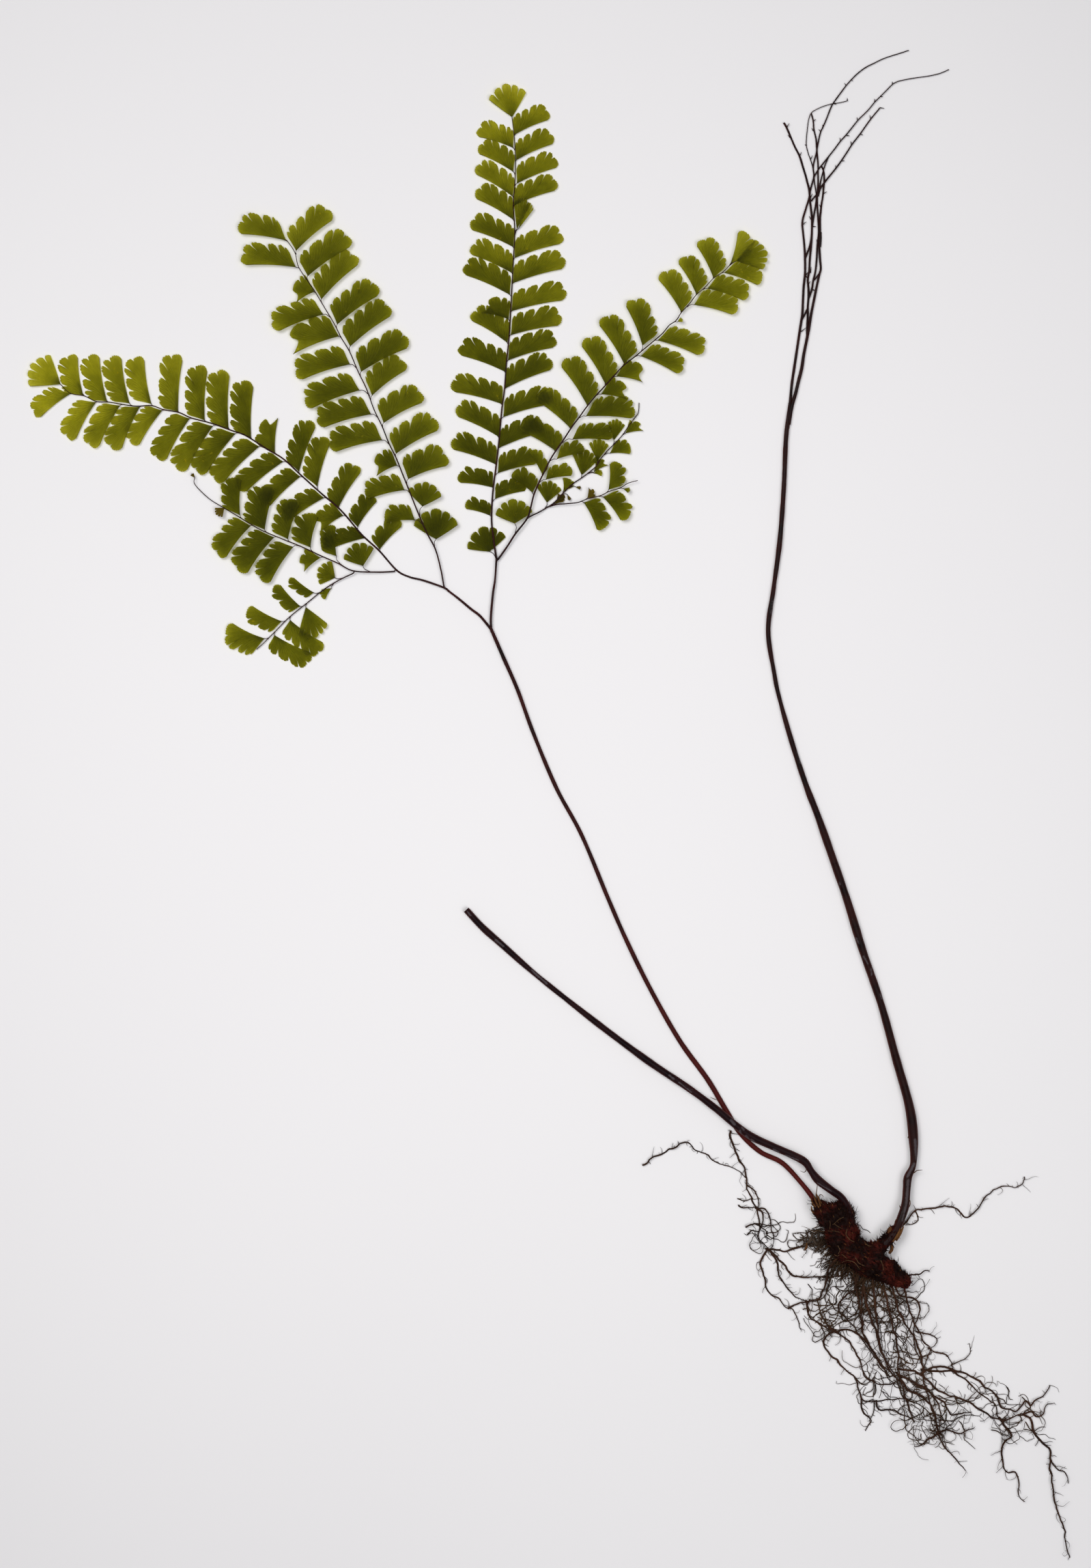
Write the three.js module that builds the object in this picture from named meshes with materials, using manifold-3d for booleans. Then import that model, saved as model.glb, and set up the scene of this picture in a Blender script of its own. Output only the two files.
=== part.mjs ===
// A bare-root maidenhair fern, lying flat: one fresh forked frond, one old cut stalk,
// one old leafless frond, and the scaly rootstock with its wiry roots.
// Millimetres, +Z up, origin under the middle of the plant, z = 0 is the surface it lies on.
import * as THREE from "three";
import { mergeVertices } from "three/addons/utils/BufferGeometryUtils.js";
import Module from "manifold-3d";

// Plan positions are [right, down] in steps of UNIT; MID is where the origin lies in them.
const UNIT = 0.183;
const MID = [801.5, 1178];

// Heights of the leafy arms above the surface: neighbours that cross in plan use different levels.
const LOW = 0.42;
const HIGH = 1.5;

// Thickness of blades and strands, breadth of a leaflet's own stalk, and clearance round a stalk.
const BLADE = 0.6;
const STALK = 0.62;
const GAP = 0.3;

// Middle heights of the strands that lie flat.
const TWIG_HEIGHT = 0.45;
const ROOT_HEIGHT = 0.36;

// Half breadths, at the base and at the tip.
const STIPE_RADIUS = [0.66, 0.5];
const ARM_RADIUS = [0.42, 0.4];
const RIB_RADIUS = [0.38, 0.33];
const OLD_STIPE_RADIUS = [0.92, 0.82];
const OLD_FROND_RADIUS = [0.86, 0.46];
const TWIG_RADIUS = [0.4, 0.3];
const SPUR_RADIUS = [0.32, 0.25];
const ROOT_TAPER = 0.9;

// Points this close to a strand's line are left out of it.
const RIB_SLACK = 0.2;
const TWIG_SLACK = 0.5;
const ROOT_SLACK = 0.6;

// Leaflet form: how far an oblong one droops per unit of reach, the breadth of a torn one, and the
// reach above which an oblong one has three clefts.
const DROOP = 0.42;
const TORN_SHARE = 0.42;
const LONG_LEAFLET = 13.5;

// Number of sides of stalks, arms of the rib, and of the rootstock.
const STALK_SIDES = 6;
const RIB_SIDES = 4;
const ROOTSTOCK_SIDES = 10;

const GREEN = { color: 0x6b7016, roughness: 0.62, metalness: 0 };
const STIPE_LOOK = { color: 0x2a0d0c, roughness: 0.35, metalness: 0 };
const OLD_LOOK = { color: 0x190c0b, roughness: 0.4, metalness: 0 };
const ROOT_LOOK = { color: 0x2b150c, roughness: 0.85, metalness: 0 };

// Each leafy arm: its rib from base to tip, the height where it leaves its parent, and its leaflets.
// A leaflet is [kind, base, tip, share]: "oblong" runs from its lower inner corner to the middle of
// its tip, share is breadth over length; "fan" spreads by share degrees each side of base to tip;
// "torn" is an oblong with its end gone, tip being where it would have ended and share what is left.
const PINNAE = {
  pinna_1: {
    rib: [[517, 840], [498, 849], [475, 863], [450, 883], [425, 903], [400, 928], [385, 943], [376, 951]],
    from: 1.15,
    level: LOW,
    leaflets: [
      ["fan", [491, 846], [466, 833], 52],
      ["oblong", [460, 868], [424, 848], 0.3],
      ["oblong", [440, 888], [403, 858], 0.36],
      ["oblong", [413, 910], [362, 893], 0.38],
      ["oblong", [388, 935], [332, 922], 0.5],
      ["oblong", [486, 861], [473, 876], 0.5],
      ["fan", [448, 889], [463, 934], 34],
      ["oblong", [425, 908], [472, 952], 0.36],
      ["oblong", [402, 930], [455, 966], 0.36],
    ],
  },
  pinna_2: {
    rib: [
      [576, 837], [550, 838], [517, 836], [495, 825], [470, 814], [440, 800], [415, 790],
      [380, 775], [350, 757], [330, 745], [310, 733], [295, 720], [285, 708], [286, 700],
    ],
    from: 0.5,
    level: HIGH,
    leaflets: [
      ["fan", [532, 829], [520, 796], 52],
      ["oblong", [493, 815], [484, 769], 0.42],
      ["oblong", [455, 802], [456, 752], 0.56],
      ["oblong", [422, 790], [430, 732], 0.44],
      ["oblong", [388, 776], [392, 712], 0.5],
      ["oblong", [352, 755], [344, 699], 0.44],
      ["torn", [470, 817], [425, 836], 0.62],
      ["oblong", [430, 801], [385, 851], 0.4],
      ["oblong", [402, 787], [350, 836], 0.42],
      ["oblong", [368, 770], [320, 813], 0.42],
      ["oblong", [336, 751], [304, 752], 0.4],
    ],
  },
  pinna_3: {
    rib: [
      [651, 861], [620, 850], [600, 845], [581, 835], [555, 806], [530, 783], [500, 748],
      [470, 722], [440, 695], [415, 672], [390, 657], [360, 638], [338, 630], [310, 620],
      [280, 612], [262, 604], [240, 600], [222, 594], [200, 595], [178, 592], [160, 589],
      [141, 588], [124, 580], [103, 576], [90, 564],
    ],
    from: 0.85,
    level: LOW,
    leaflets: [
      ["fan", [89, 563], [45, 534], 38],
      ["oblong", [122, 579], [103, 520], 0.48],
      ["oblong", [157, 588], [135, 520], 0.42],
      ["oblong", [190, 591], [167, 522], 0.42],
      ["oblong", [222, 592], [200, 523], 0.42],
      ["oblong", [261, 603], [257, 519], 0.37],
      ["oblong", [300, 616], [293, 536], 0.38],
      ["oblong", [335, 629], [325, 543], 0.38],
      ["oblong", [368, 643], [360, 558], 0.38],
      ["torn", [403, 664], [393, 595], 0.72],
      ["oblong", [438, 691], [455, 617], 0.38],
      ["oblong", [465, 713], [475, 641], 0.4],
      ["oblong", [496, 743], [523, 682], 0.42],
      ["oblong", [524, 772], [547, 727], 0.48],
      ["oblong", [556, 805], [585, 762], 0.46],
      ["oblong", [103, 577], [50, 606], 0.46],
      ["oblong", [141, 589], [100, 642], 0.44],
      ["oblong", [176, 594], [134, 654], 0.4],
      ["oblong", [205, 596], [167, 658], 0.42],
      ["oblong", [238, 601], [194, 650], 0.42],
      ["oblong", [278, 613], [232, 673], 0.4],
      ["oblong", [312, 624], [262, 688], 0.4],
      ["oblong", [345, 635], [290, 692], 0.4],
      ["oblong", [380, 654], [315, 704], 0.38],
      ["oblong", [415, 676], [350, 716], 0.38],
      ["oblong", [440, 698], [385, 738], 0.4],
      ["oblong", [475, 729], [415, 758], 0.4],
      ["torn", [503, 755], [440, 778], 0.6],
      ["oblong", [534, 788], [470, 800], 0.38],
    ],
  },
  pinna_4: {
    rib: [
      [650, 857], [646, 835], [638, 805], [625, 780], [612, 750], [600, 720], [590, 695],
      [580, 670], [570, 650], [560, 625], [548, 600], [537, 570], [525, 545], [512, 515],
      [500, 495], [490, 475], [475, 450], [460, 425], [448, 408], [437, 390], [432, 370],
      [420, 352],
    ],
    from: 0.9,
    level: HIGH,
    leaflets: [
      ["fan", [639, 790], [638, 745], 58],
      ["fan", [619, 742], [625, 706], 54],
      ["oblong", [598, 702], [655, 669], 0.5],
      ["oblong", [580, 665], [640, 618], 0.42],
      ["oblong", [562, 620], [618, 577], 0.44],
      ["oblong", [545, 580], [592, 530], 0.44],
      ["oblong", [529, 545], [597, 497], 0.38],
      ["oblong", [513, 508], [571, 450], 0.38],
      ["oblong", [494, 476], [552, 420], 0.38],
      ["oblong", [471, 439], [521, 375], 0.38],
      ["oblong", [451, 405], [512, 348], 0.38],
      ["oblong", [434, 368], [484, 310], 0.4],
      ["oblong", [608, 762], [563, 757], 0.5],
      ["oblong", [593, 718], [535, 722], 0.44],
      ["torn", [582, 682], [518, 690], 0.5],
      ["oblong", [560, 645], [483, 652], 0.4],
      ["oblong", [544, 607], [465, 617], 0.38],
      ["oblong", [527, 572], [447, 590], 0.38],
      ["oblong", [513, 534], [433, 547], 0.38],
      ["torn", [497, 493], [412, 506], 0.82],
      ["oblong", [474, 461], [399, 477], 0.38],
      ["torn", [461, 428], [396, 438], 0.45],
      ["oblong", [434, 392], [354, 377], 0.36],
      ["oblong", [420, 353], [350, 332], 0.4],
    ],
  },
  pinna_5: {
    rib: [
      [725, 831], [727, 818], [723, 790], [720, 760], [722, 720], [727, 680], [731, 645],
      [735, 600], [739, 570], [742, 530], [746, 490], [748, 455], [750, 420], [752, 380],
      [754, 340], [752, 300], [754, 270], [755, 235], [753, 197], [750, 173],
    ],
    from: 0.85,
    level: LOW,
    leaflets: [
      ["fan", [750, 172], [740, 124], 42],
      ["oblong", [753, 198], [804, 165], 0.46],
      ["oblong", [756, 235], [810, 200], 0.44],
      ["oblong", [757, 269], [816, 235], 0.42],
      ["oblong", [753, 301], [815, 268], 0.4],
      ["oblong", [756, 337], [784, 322], 0.7],
      ["oblong", [754, 378], [824, 345], 0.4],
      ["oblong", [751, 415], [827, 382], 0.38],
      ["oblong", [749, 456], [829, 428], 0.36],
      ["oblong", [748, 491], [822, 465], 0.4],
      ["oblong", [744, 528], [814, 497], 0.4],
      ["oblong", [740, 569], [808, 530], 0.4],
      ["oblong", [737, 611], [805, 580], 0.42],
      ["oblong", [731, 656], [790, 620], 0.42],
      ["oblong", [729, 693], [785, 670], 0.48],
      ["oblong", [725, 731], [770, 710], 0.48],
      ["oblong", [752, 217], [700, 190], 0.48],
      ["oblong", [752, 252], [702, 215], 0.46],
      ["oblong", [751, 288], [698, 245], 0.42],
      ["oblong", [752, 322], [698, 280], 0.44],
      ["oblong", [752, 362], [690, 325], 0.42],
      ["oblong", [750, 400], [690, 362], 0.42],
      ["oblong", [747, 432], [680, 390], 0.4],
      ["torn", [745, 468], [684, 432], 0.55],
      ["oblong", [743, 502], [692, 458], 0.46],
      ["oblong", [741, 545], [673, 508], 0.4],
      ["oblong", [736, 592], [662, 562], 0.38],
      ["oblong", [731, 640], [669, 598], 0.4],
      ["oblong", [726, 680], [662, 647], 0.42],
      ["oblong", [722, 714], [672, 698], 0.48],
      ["oblong", [718, 755], [682, 738], 0.5],
      ["fan", [717, 808], [706, 772], 66],
    ],
  },
  pinna_6: {
    rib: [
      [732, 816], [744, 799], [755, 782], [772, 760], [777, 745], [782, 725], [790, 706],
      [798, 690], [808, 670], [825, 645], [838, 625], [848, 612], [858, 598], [870, 583],
      [882, 570], [900, 550], [912, 535], [930, 520], [940, 508], [950, 500], [965, 490],
      [980, 477], [990, 470], [998, 458], [1010, 445], [1020, 432], [1033, 421], [1045, 408],
      [1060, 398], [1072, 385],
    ],
    from: 0.75,
    level: HIGH,
    leaflets: [
      ["fan", [754, 767], [751, 731], 62],
      ["oblong", [780, 722], [752, 692], 0.5],
      ["oblong", [795, 697], [780, 660], 0.36],
      ["oblong", [814, 661], [770, 625], 0.4],
      ["oblong", [836, 628], [790, 577], 0.38],
      ["oblong", [860, 594], [828, 527], 0.38],
      ["oblong", [887, 564], [858, 497], 0.38],
      ["oblong", [914, 533], [884, 466], 0.38],
      ["oblong", [941, 507], [925, 440], 0.4],
      ["oblong", [998, 458], [970, 400], 0.42],
      ["oblong", [1020, 432], [1000, 378], 0.42],
      ["oblong", [1045, 408], [1027, 352], 0.44],
      ["oblong", [1069, 388], [1090, 341], 0.46],
      ["fan", [1078, 383], [1124, 370], 34],
      ["oblong", [799, 703], [838, 690], 0.42],
      ["oblong", [815, 673], [855, 656], 0.42],
      ["oblong", [838, 644], [897, 636], 0.36],
      ["oblong", [858, 610], [930, 603], 0.38],
      ["torn", [880, 578], [940, 572], 0.62],
      ["torn", [903, 552], [962, 548], 0.66],
      ["oblong", [938, 522], [1000, 541], 0.38],
      ["oblong", [963, 499], [1031, 513], 0.38],
      ["torn", [985, 478], [1042, 486], 0.4],
      ["oblong", [1016, 447], [1080, 453], 0.4],
      ["oblong", [1036, 423], [1096, 433], 0.4],
      ["oblong", [1060, 400], [1116, 411], 0.4],
    ],
  },
  pinna_7: {
    rib: [
      [776, 757], [790, 750], [800, 744], [812, 736], [825, 722], [840, 708], [852, 700],
      [865, 690], [873, 683], [880, 672], [890, 660], [900, 650], [912, 637], [922, 622],
      [930, 612], [935, 604], [936, 590],
    ],
    from: 1.2,
    level: LOW,
    leaflets: [
      ["fan", [801, 738], [803, 705], 44],
      ["oblong", [826, 720], [822, 702], 0.6],
      ["oblong", [853, 697], [848, 656], 0.42],
      ["oblong", [874, 680], [872, 646], 0.46],
      ["oblong", [900, 648], [899, 616], 0.5],
      ["oblong", [850, 703], [858, 714], 0.6],
      ["oblong", [867, 691], [892, 690], 0.5],
      ["oblong", [893, 662], [925, 658], 0.5],
      ["torn", [917, 632], [948, 628], 0.75],
    ],
  },
  pinna_8: {
    rib: [
      [816, 739], [830, 738], [847, 736], [860, 731], [880, 726], [892, 720], [908, 715],
      [920, 708], [934, 704],
    ],
    from: 0.95,
    level: HIGH,
    leaflets: [
      ["oblong", [862, 730], [861, 716], 0.6],
      ["oblong", [891, 719], [898, 677], 0.46],
      ["oblong", [832, 736], [833, 722], 0.5],
      ["oblong", [855, 736], [884, 775], 0.42],
      ["oblong", [884, 727], [915, 762], 0.44],
      ["oblong", [914, 712], [923, 722], 0.5],
    ],
  },
};

// The fresh stalk from rootstock to main fork, and the two arms of the fork; third number is height.
const FRESH_STIPE = [
  [1216, 1798, 3.9], [1203, 1777, 3.8], [1192, 1756, 3.5], [1172, 1730, 2.6], [1145, 1702, 1.4],
  [1113, 1686, 0.85], [1085, 1660, 0.62], [1063, 1625, 0.6], [1036, 1580, 0.6], [999, 1521, 0.65],
  [953, 1449, 0.8], [918, 1378, 0.8], [890, 1314, 0.7], [852, 1223, 0.6], [815, 1154, 0.6],
  [781, 1073, 0.7], [758, 1010, 0.8], [737, 962, 0.85], [718, 918, 0.85],
];
const LEFT_ARM = [[721, 924, 0.85], [704, 903, 0.85], [690, 892, 0.85], [672, 877, 0.85], [655, 864, 0.85]];
const RIGHT_ARM = [
  [720, 926, 0.85], [719, 905, 0.85], [722, 870, 0.85], [725, 850, 0.85], [726, 835, 0.85],
];

// The old cut stalk, from rootstock to its cut end: it crosses over the fresh stalk.
const OLD_STIPE = [
  [1243, 1794, 4.0], [1242, 1774, 4.0], [1232, 1753, 3.9], [1215, 1740, 3.7], [1197, 1726, 3.5],
  [1187, 1713, 3.3], [1178, 1700, 3.1], [1160, 1690, 2.9], [1130, 1677, 2.6], [1100, 1663, 2.4],
  [1075, 1645, 2.3], [1050, 1624, 2.2], [1010, 1594, 1.9], [953, 1556, 1.4], [890, 1507, 1.05],
  [827, 1458, 1.0], [780, 1420, 1.0], [735, 1381, 0.98], [708, 1355, 0.96], [683, 1332, 0.95],
];

// The old leafless frond: its stalk and the bare twigs above its fork.
const OLD_FROND = [
  [1290, 1824, 3.1], [1303, 1811, 3.1], [1313, 1795, 3.0], [1321, 1765, 2.6], [1325, 1740, 2.2],
  [1327, 1722, 1.9], [1337, 1703, 1.6], [1339, 1665, 1.3], [1332, 1618, 1.1], [1312, 1550, 0.95],
  [1291, 1470, 0.9], [1269, 1389, 0.9], [1246, 1315, 0.9], [1223, 1251, 0.9], [1200, 1195, 0.9],
  [1182, 1148, 0.85], [1159, 1085, 0.8], [1139, 1022, 0.75], [1131, 987, 0.7], [1125, 924, 0.65],
  [1134, 861, 0.6], [1142, 792, 0.55], [1148, 712, 0.52], [1153, 643, 0.5], [1157, 590, 0.5],
];
const TWIGS = [
  [
    [1154, 612], [1163, 530], [1170, 480], [1176, 430], [1179, 390], [1178, 350], [1175, 325],
    [1178, 308], [1185, 290], [1190, 262], [1198, 210], [1204, 186], [1218, 153], [1238, 125],
    [1266, 99], [1286, 89], [1330, 75],
  ],
  [
    [1177, 437], [1182, 407], [1182, 374], [1188, 345], [1188, 310], [1187, 288], [1182, 262],
    [1171, 230], [1160, 204], [1149, 181],
  ],
  [
    [1196, 318], [1192, 272], [1191, 248], [1186, 230], [1181, 208], [1184, 180], [1189, 166],
    [1205, 156], [1220, 152], [1241, 147],
  ],
  [
    [1176, 468], [1184, 440], [1191, 420], [1200, 395], [1201, 365], [1200, 338], [1197, 300],
    [1198, 242], [1194, 205], [1189, 166],
  ],
  [
    [1187, 291], [1191, 268], [1199, 250], [1212, 231], [1230, 206], [1256, 175], [1280, 150],
    [1304, 126], [1316, 119], [1352, 113], [1376, 108], [1390, 102],
  ],
  [
    [1195, 320], [1199, 287], [1210, 266], [1225, 246], [1233, 233], [1246, 212], [1259, 196],
    [1274, 174], [1290, 158],
  ],
  [
    [1154, 612], [1164, 578], [1172, 547], [1179, 518], [1186, 480], [1191, 446], [1195, 410],
    [1201, 380], [1203, 340], [1203, 300], [1202, 270], [1207, 243],
  ],
];
// Broken stubs of twigs: where each starts, and how far right and down it reaches.
const SPURS = [
  [1168, 482, 8, 6], [1180, 405, -6, 7], [1175, 328, 7, 3], [1196, 405, 6, 8], [1171, 229, 3, 9],
  [1201, 193, 7, 6], [1184, 230, -2, 9], [1256, 176, -5, 7], [1282, 150, -6, -2],
  [1246, 212, -6, -4], [1274, 174, -3, 8], [1290, 158, 6, -2], [1224, 247, -5, -5],
  [1241, 147, 1, 7], [1203, 340, 6, 3],
];

// The rootstock: [right, down, height, half breadth in mm].
const ROOTSTOCK = [
  [
    [1220, 1760, 3.6, 3.4], [1222, 1772, 3.6, 5.0], [1227, 1795, 3.5, 5.3], [1238, 1820, 3.4, 5.2],
    [1262, 1840, 3.3, 4.8], [1290, 1855, 3.0, 4.2], [1312, 1868, 2.9, 3.6], [1326, 1878, 2.8, 2.1],
  ],
  [[1262, 1838, 3.1, 3.8], [1285, 1826, 3.0, 3.2], [1302, 1811, 3.0, 2.5], [1311, 1799, 3.0, 2.0]],
  [[1215, 1785, 3.6, 3.6], [1203, 1770, 3.7, 2.6], [1196, 1759, 3.6, 1.7]],
];
const SQUASH = 0.78;

// The bristly scales that clothe the rootstock.
const SCALES = 46;
const SCALE_RADIUS = 0.55;
const SCALE_LENGTH = [2.1, 3.0];
const SCALE_SINK = 0.93;

// Roots: [half breadth in mm, points]. Each starts inside what it grows from.
const ROOTS = [
  [0.5, [[1260, 1850], [1264, 1880], [1270, 1912], [1283, 1950], [1294, 1985], [1304, 2008], [1316, 2022]]],
  [0.45, [[1276, 1850], [1279, 1890], [1284, 1930], [1289, 1965], [1297, 1990], [1312, 2016]]],
  [0.42, [
    [1290, 1858], [1297, 1900], [1304, 1930], [1312, 1960], [1315, 1990], [1318, 2022],
    [1325, 2042],
  ]],
  [0.38, [
    [1248, 1850], [1256, 1900], [1259, 1925], [1263, 1950], [1275, 1972], [1286, 1992],
    [1298, 2012],
  ]],
  [0.42, [
    [1300, 1862], [1310, 1900], [1322, 1932], [1337, 1955], [1347, 1978], [1351, 2003],
    [1354, 2030], [1362, 2055], [1370, 2080], [1373, 2099],
  ]],
  [0.36, [
    [1322, 1872], [1327, 1900], [1333, 1920], [1342, 1942], [1352, 1962], [1361, 1974],
    [1358, 1990], [1352, 2006],
  ]],
  [0.36, [
    [1306, 1866], [1316, 1894], [1335, 1899], [1347, 1912], [1345, 1928], [1338, 1945],
    [1338, 1962], [1345, 1985], [1352, 2006],
  ]],
  [0.36, [[1268, 1850], [1262, 1900], [1262, 1935], [1266, 1960], [1279, 1976], [1290, 1998]]],
  [0.36, [
    [1254, 1856], [1253, 1886], [1240, 1895], [1230, 1906], [1230, 1919], [1241, 1932],
    [1253, 1946], [1265, 1966], [1281, 1986], [1304, 2010],
  ]],
  [0.4, [[1214, 1941], [1222, 1949], [1240, 1946], [1256, 1953], [1270, 1968], [1284, 1987], [1296, 2004]]],
  [0.36, [
    [1216, 1942], [1224, 1950], [1238, 1960], [1246, 1968], [1256, 1987], [1263, 2002],
    [1268, 2015], [1278, 2022], [1292, 2027], [1306, 2026], [1318, 2021],
  ]],
  [0.36, [
    [1224, 1946], [1211, 1956], [1206, 1968], [1214, 1980], [1227, 1993], [1240, 2008],
    [1252, 2017], [1256, 2032], [1259, 2046], [1266, 2051], [1280, 2052], [1300, 2050],
    [1314, 2048], [1332, 2048],
  ]],
  [0.33, [[1259, 2044], [1264, 2065], [1275, 2079], [1267, 2093]]],
  [0.33, [[1282, 2050], [1290, 2063], [1310, 2065], [1320, 2071], [1330, 2074], [1339, 2081]]],
  [0.4, [[1325, 2042], [1332, 2062], [1338, 2082]]],
  [0.45, [[1312, 2010], [1330, 2035], [1350, 2045], [1365, 2060], [1372, 2084], [1372, 2100]]],
  [0.4, [[1318, 2014], [1342, 2026], [1360, 2036], [1372, 2052], [1378, 2072], [1372, 2099]]],
  [0.4, [
    [1314, 2004], [1340, 2008], [1358, 2020], [1370, 2031], [1385, 2040], [1402, 2046],
    [1420, 2052], [1432, 2063], [1450, 2072], [1463, 2078], [1476, 2077], [1491, 2070],
    [1504, 2068],
  ]],
  [0.4, [
    [1348, 2012], [1365, 2002], [1380, 2001], [1395, 2006], [1412, 2009], [1421, 2016],
    [1433, 2022], [1441, 2031], [1453, 2037], [1461, 2049], [1467, 2060], [1479, 2063],
    [1488, 2065], [1496, 2056], [1502, 2050], [1509, 2058], [1514, 2050], [1526, 2046],
    [1531, 2039], [1539, 2028],
  ]],
  [0.36, [
    [1348, 2006], [1375, 2008], [1395, 2008], [1410, 2016], [1420, 2027], [1431, 2036],
    [1441, 2043], [1449, 2051], [1459, 2059], [1461, 2074],
  ]],
  [0.42, [
    [1498, 2069], [1508, 2077], [1513, 2095], [1521, 2107], [1531, 2115], [1538, 2125],
    [1538, 2138], [1536, 2148], [1541, 2160], [1540, 2172], [1543, 2185], [1545, 2200],
    [1549, 2215], [1555, 2228], [1559, 2245], [1562, 2265], [1566, 2280],
  ]],
  [0.38, [
    [1462, 2074], [1474, 2091], [1482, 2101], [1473, 2108], [1467, 2119], [1467, 2132],
    [1470, 2149], [1477, 2156], [1487, 2155], [1491, 2162], [1491, 2176], [1491, 2190],
    [1499, 2199],
  ]],
  [0.3, [[1538, 2134], [1541, 2143], [1549, 2151], [1557, 2153], [1563, 2162], [1564, 2171]]],
  [0.3, [[1500, 2068], [1512, 2066], [1519, 2074], [1528, 2070], [1531, 2061], [1535, 2055], [1543, 2053]]],
  [0.36, [[1370, 2096], [1385, 2094], [1400, 2098], [1413, 2096], [1427, 2089]]],
  [0.36, [[1376, 2096], [1358, 2108], [1350, 2115], [1340, 2117]]],
  [0.33, [[1371, 2094], [1382, 2115], [1395, 2130], [1405, 2143], [1415, 2155]]],
  [0.33, [
    [1364, 2040], [1380, 2052], [1386, 2062], [1392, 2070], [1403, 2070], [1413, 2068],
    [1424, 2068],
  ]],
  [0.3, [[1358, 1974], [1372, 1981], [1385, 1984], [1393, 1995], [1396, 2008]]],
  [0.3, [[1340, 1949], [1352, 1952], [1363, 1954], [1371, 1960], [1369, 1970], [1358, 1977]]],
  [0.36, [
    [1069, 1654], [1069, 1662], [1073, 1673], [1078, 1686], [1081, 1698], [1089, 1707],
    [1092, 1722], [1094, 1739], [1101, 1755], [1108, 1768], [1111, 1785], [1111, 1800],
    [1111, 1812], [1118, 1821], [1128, 1831],
  ]],
  [0.3, [
    [941, 1705], [948, 1703], [954, 1697], [975, 1685], [986, 1682], [998, 1674], [1009, 1673],
    [1018, 1684], [1035, 1690], [1048, 1700], [1060, 1705], [1072, 1709], [1085, 1717],
    [1093, 1727],
  ]],
  [0.3, [[1093, 1734], [1103, 1742], [1110, 1755], [1110, 1770]]],
  [0.33, [[1108, 1768], [1118, 1778], [1116, 1790], [1111, 1802]]],
  [0.3, [[1106, 1768], [1121, 1771], [1128, 1785], [1130, 1800], [1133, 1815], [1128, 1832]]],
  [0.3, [[1082, 1765], [1088, 1769], [1100, 1768], [1110, 1766]]],
  [0.3, [[1092, 1796], [1100, 1791], [1112, 1792], [1130, 1794]]],
  [0.3, [[1094, 1809], [1100, 1801], [1112, 1804]]],
  [0.36, [
    [1120, 1828], [1140, 1831], [1152, 1833], [1163, 1828], [1176, 1825], [1192, 1820],
    [1224, 1812],
  ]],
  [0.4, [
    [1122, 1828], [1140, 1843], [1150, 1854], [1160, 1865], [1171, 1869], [1186, 1870],
    [1210, 1870], [1236, 1866], [1256, 1850],
  ]],
  [0.36, [
    [1124, 1828], [1138, 1848], [1140, 1862], [1145, 1876], [1157, 1889], [1169, 1900],
    [1185, 1905], [1200, 1903],
  ]],
  [0.33, [
    [1124, 1828], [1115, 1845], [1116, 1858], [1120, 1872], [1122, 1885], [1128, 1895],
    [1140, 1902], [1150, 1913], [1159, 1916], [1166, 1925], [1170, 1938], [1174, 1948],
  ]],
  [0.36, [[1153, 1915], [1170, 1909], [1188, 1906], [1200, 1902]]],
  [0.45, [[1232, 1836], [1214, 1856], [1210, 1874], [1206, 1890], [1197, 1903], [1180, 1906]]],
  [0.36, [[1180, 1903], [1184, 1925], [1195, 1936], [1210, 1945], [1224, 1947]]],
  [0.33, [
    [1278, 1842], [1300, 1816], [1312, 1803], [1326, 1792], [1334, 1780], [1344, 1771],
    [1365, 1769], [1382, 1766], [1397, 1768], [1409, 1778], [1418, 1781], [1432, 1769],
    [1443, 1753], [1458, 1741], [1473, 1736], [1489, 1738], [1498, 1732], [1500, 1723],
  ]],
  [0.33, [[1312, 1868], [1336, 1866], [1347, 1865], [1354, 1861], [1361, 1862]]],
];

const wasm = await Module();
wasm.setup();

// A repeatable draw between 0 and 1.
let seed = 7;
function draw() {
  seed = (seed * 1103515245 + 12345) % 2147483648;
  return seed / 2147483648;
}

const plan = ([right, down]) => new THREE.Vector2((right - MID[0]) * UNIT, (MID[1] - down) * UNIT);
const lift = (point, height) => new THREE.Vector3(plan(point).x, plan(point).y, height);
const mix = (a, b, t) => a + (b - a) * t;
const smooth = (t) => t * t * (3 - 2 * t);

// A closed geometry as a solid that can be joined and cut, and back again.
function solid(geometry) {
  const bare = geometry.index ? geometry.toNonIndexed() : geometry.clone();
  bare.deleteAttribute("normal");
  bare.deleteAttribute("uv");
  const merged = mergeVertices(bare, 1e-3);
  const vertProperties = merged.attributes.position.array;
  const triVerts = new Uint32Array(merged.index.array);
  return new wasm.Manifold(new wasm.Mesh({ numProp: 3, vertProperties, triVerts }));
}

function geometryOf(made) {
  const { numProp, vertProperties, triVerts } = made.getMesh();
  const geometry = new THREE.BufferGeometry();
  const places = new Float32Array((vertProperties.length / numProp) * 3);
  for (let i = 0; i < places.length / 3; i++) {
    places.set(vertProperties.subarray(i * numProp, i * numProp + 3), i * 3);
  }
  geometry.setAttribute("position", new THREE.BufferAttribute(places, 3));
  geometry.setIndex(new THREE.BufferAttribute(triVerts, 1));
  geometry.computeVertexNormals();
  return geometry;
}

// Joins pieces and keeps the one body that holds nearly all of them.
function join(pieces) {
  const whole = wasm.Manifold.union(pieces);
  const bodies = whole.decompose().sort((a, b) => b.volume() - a.volume());
  return bodies[0];
}

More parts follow.
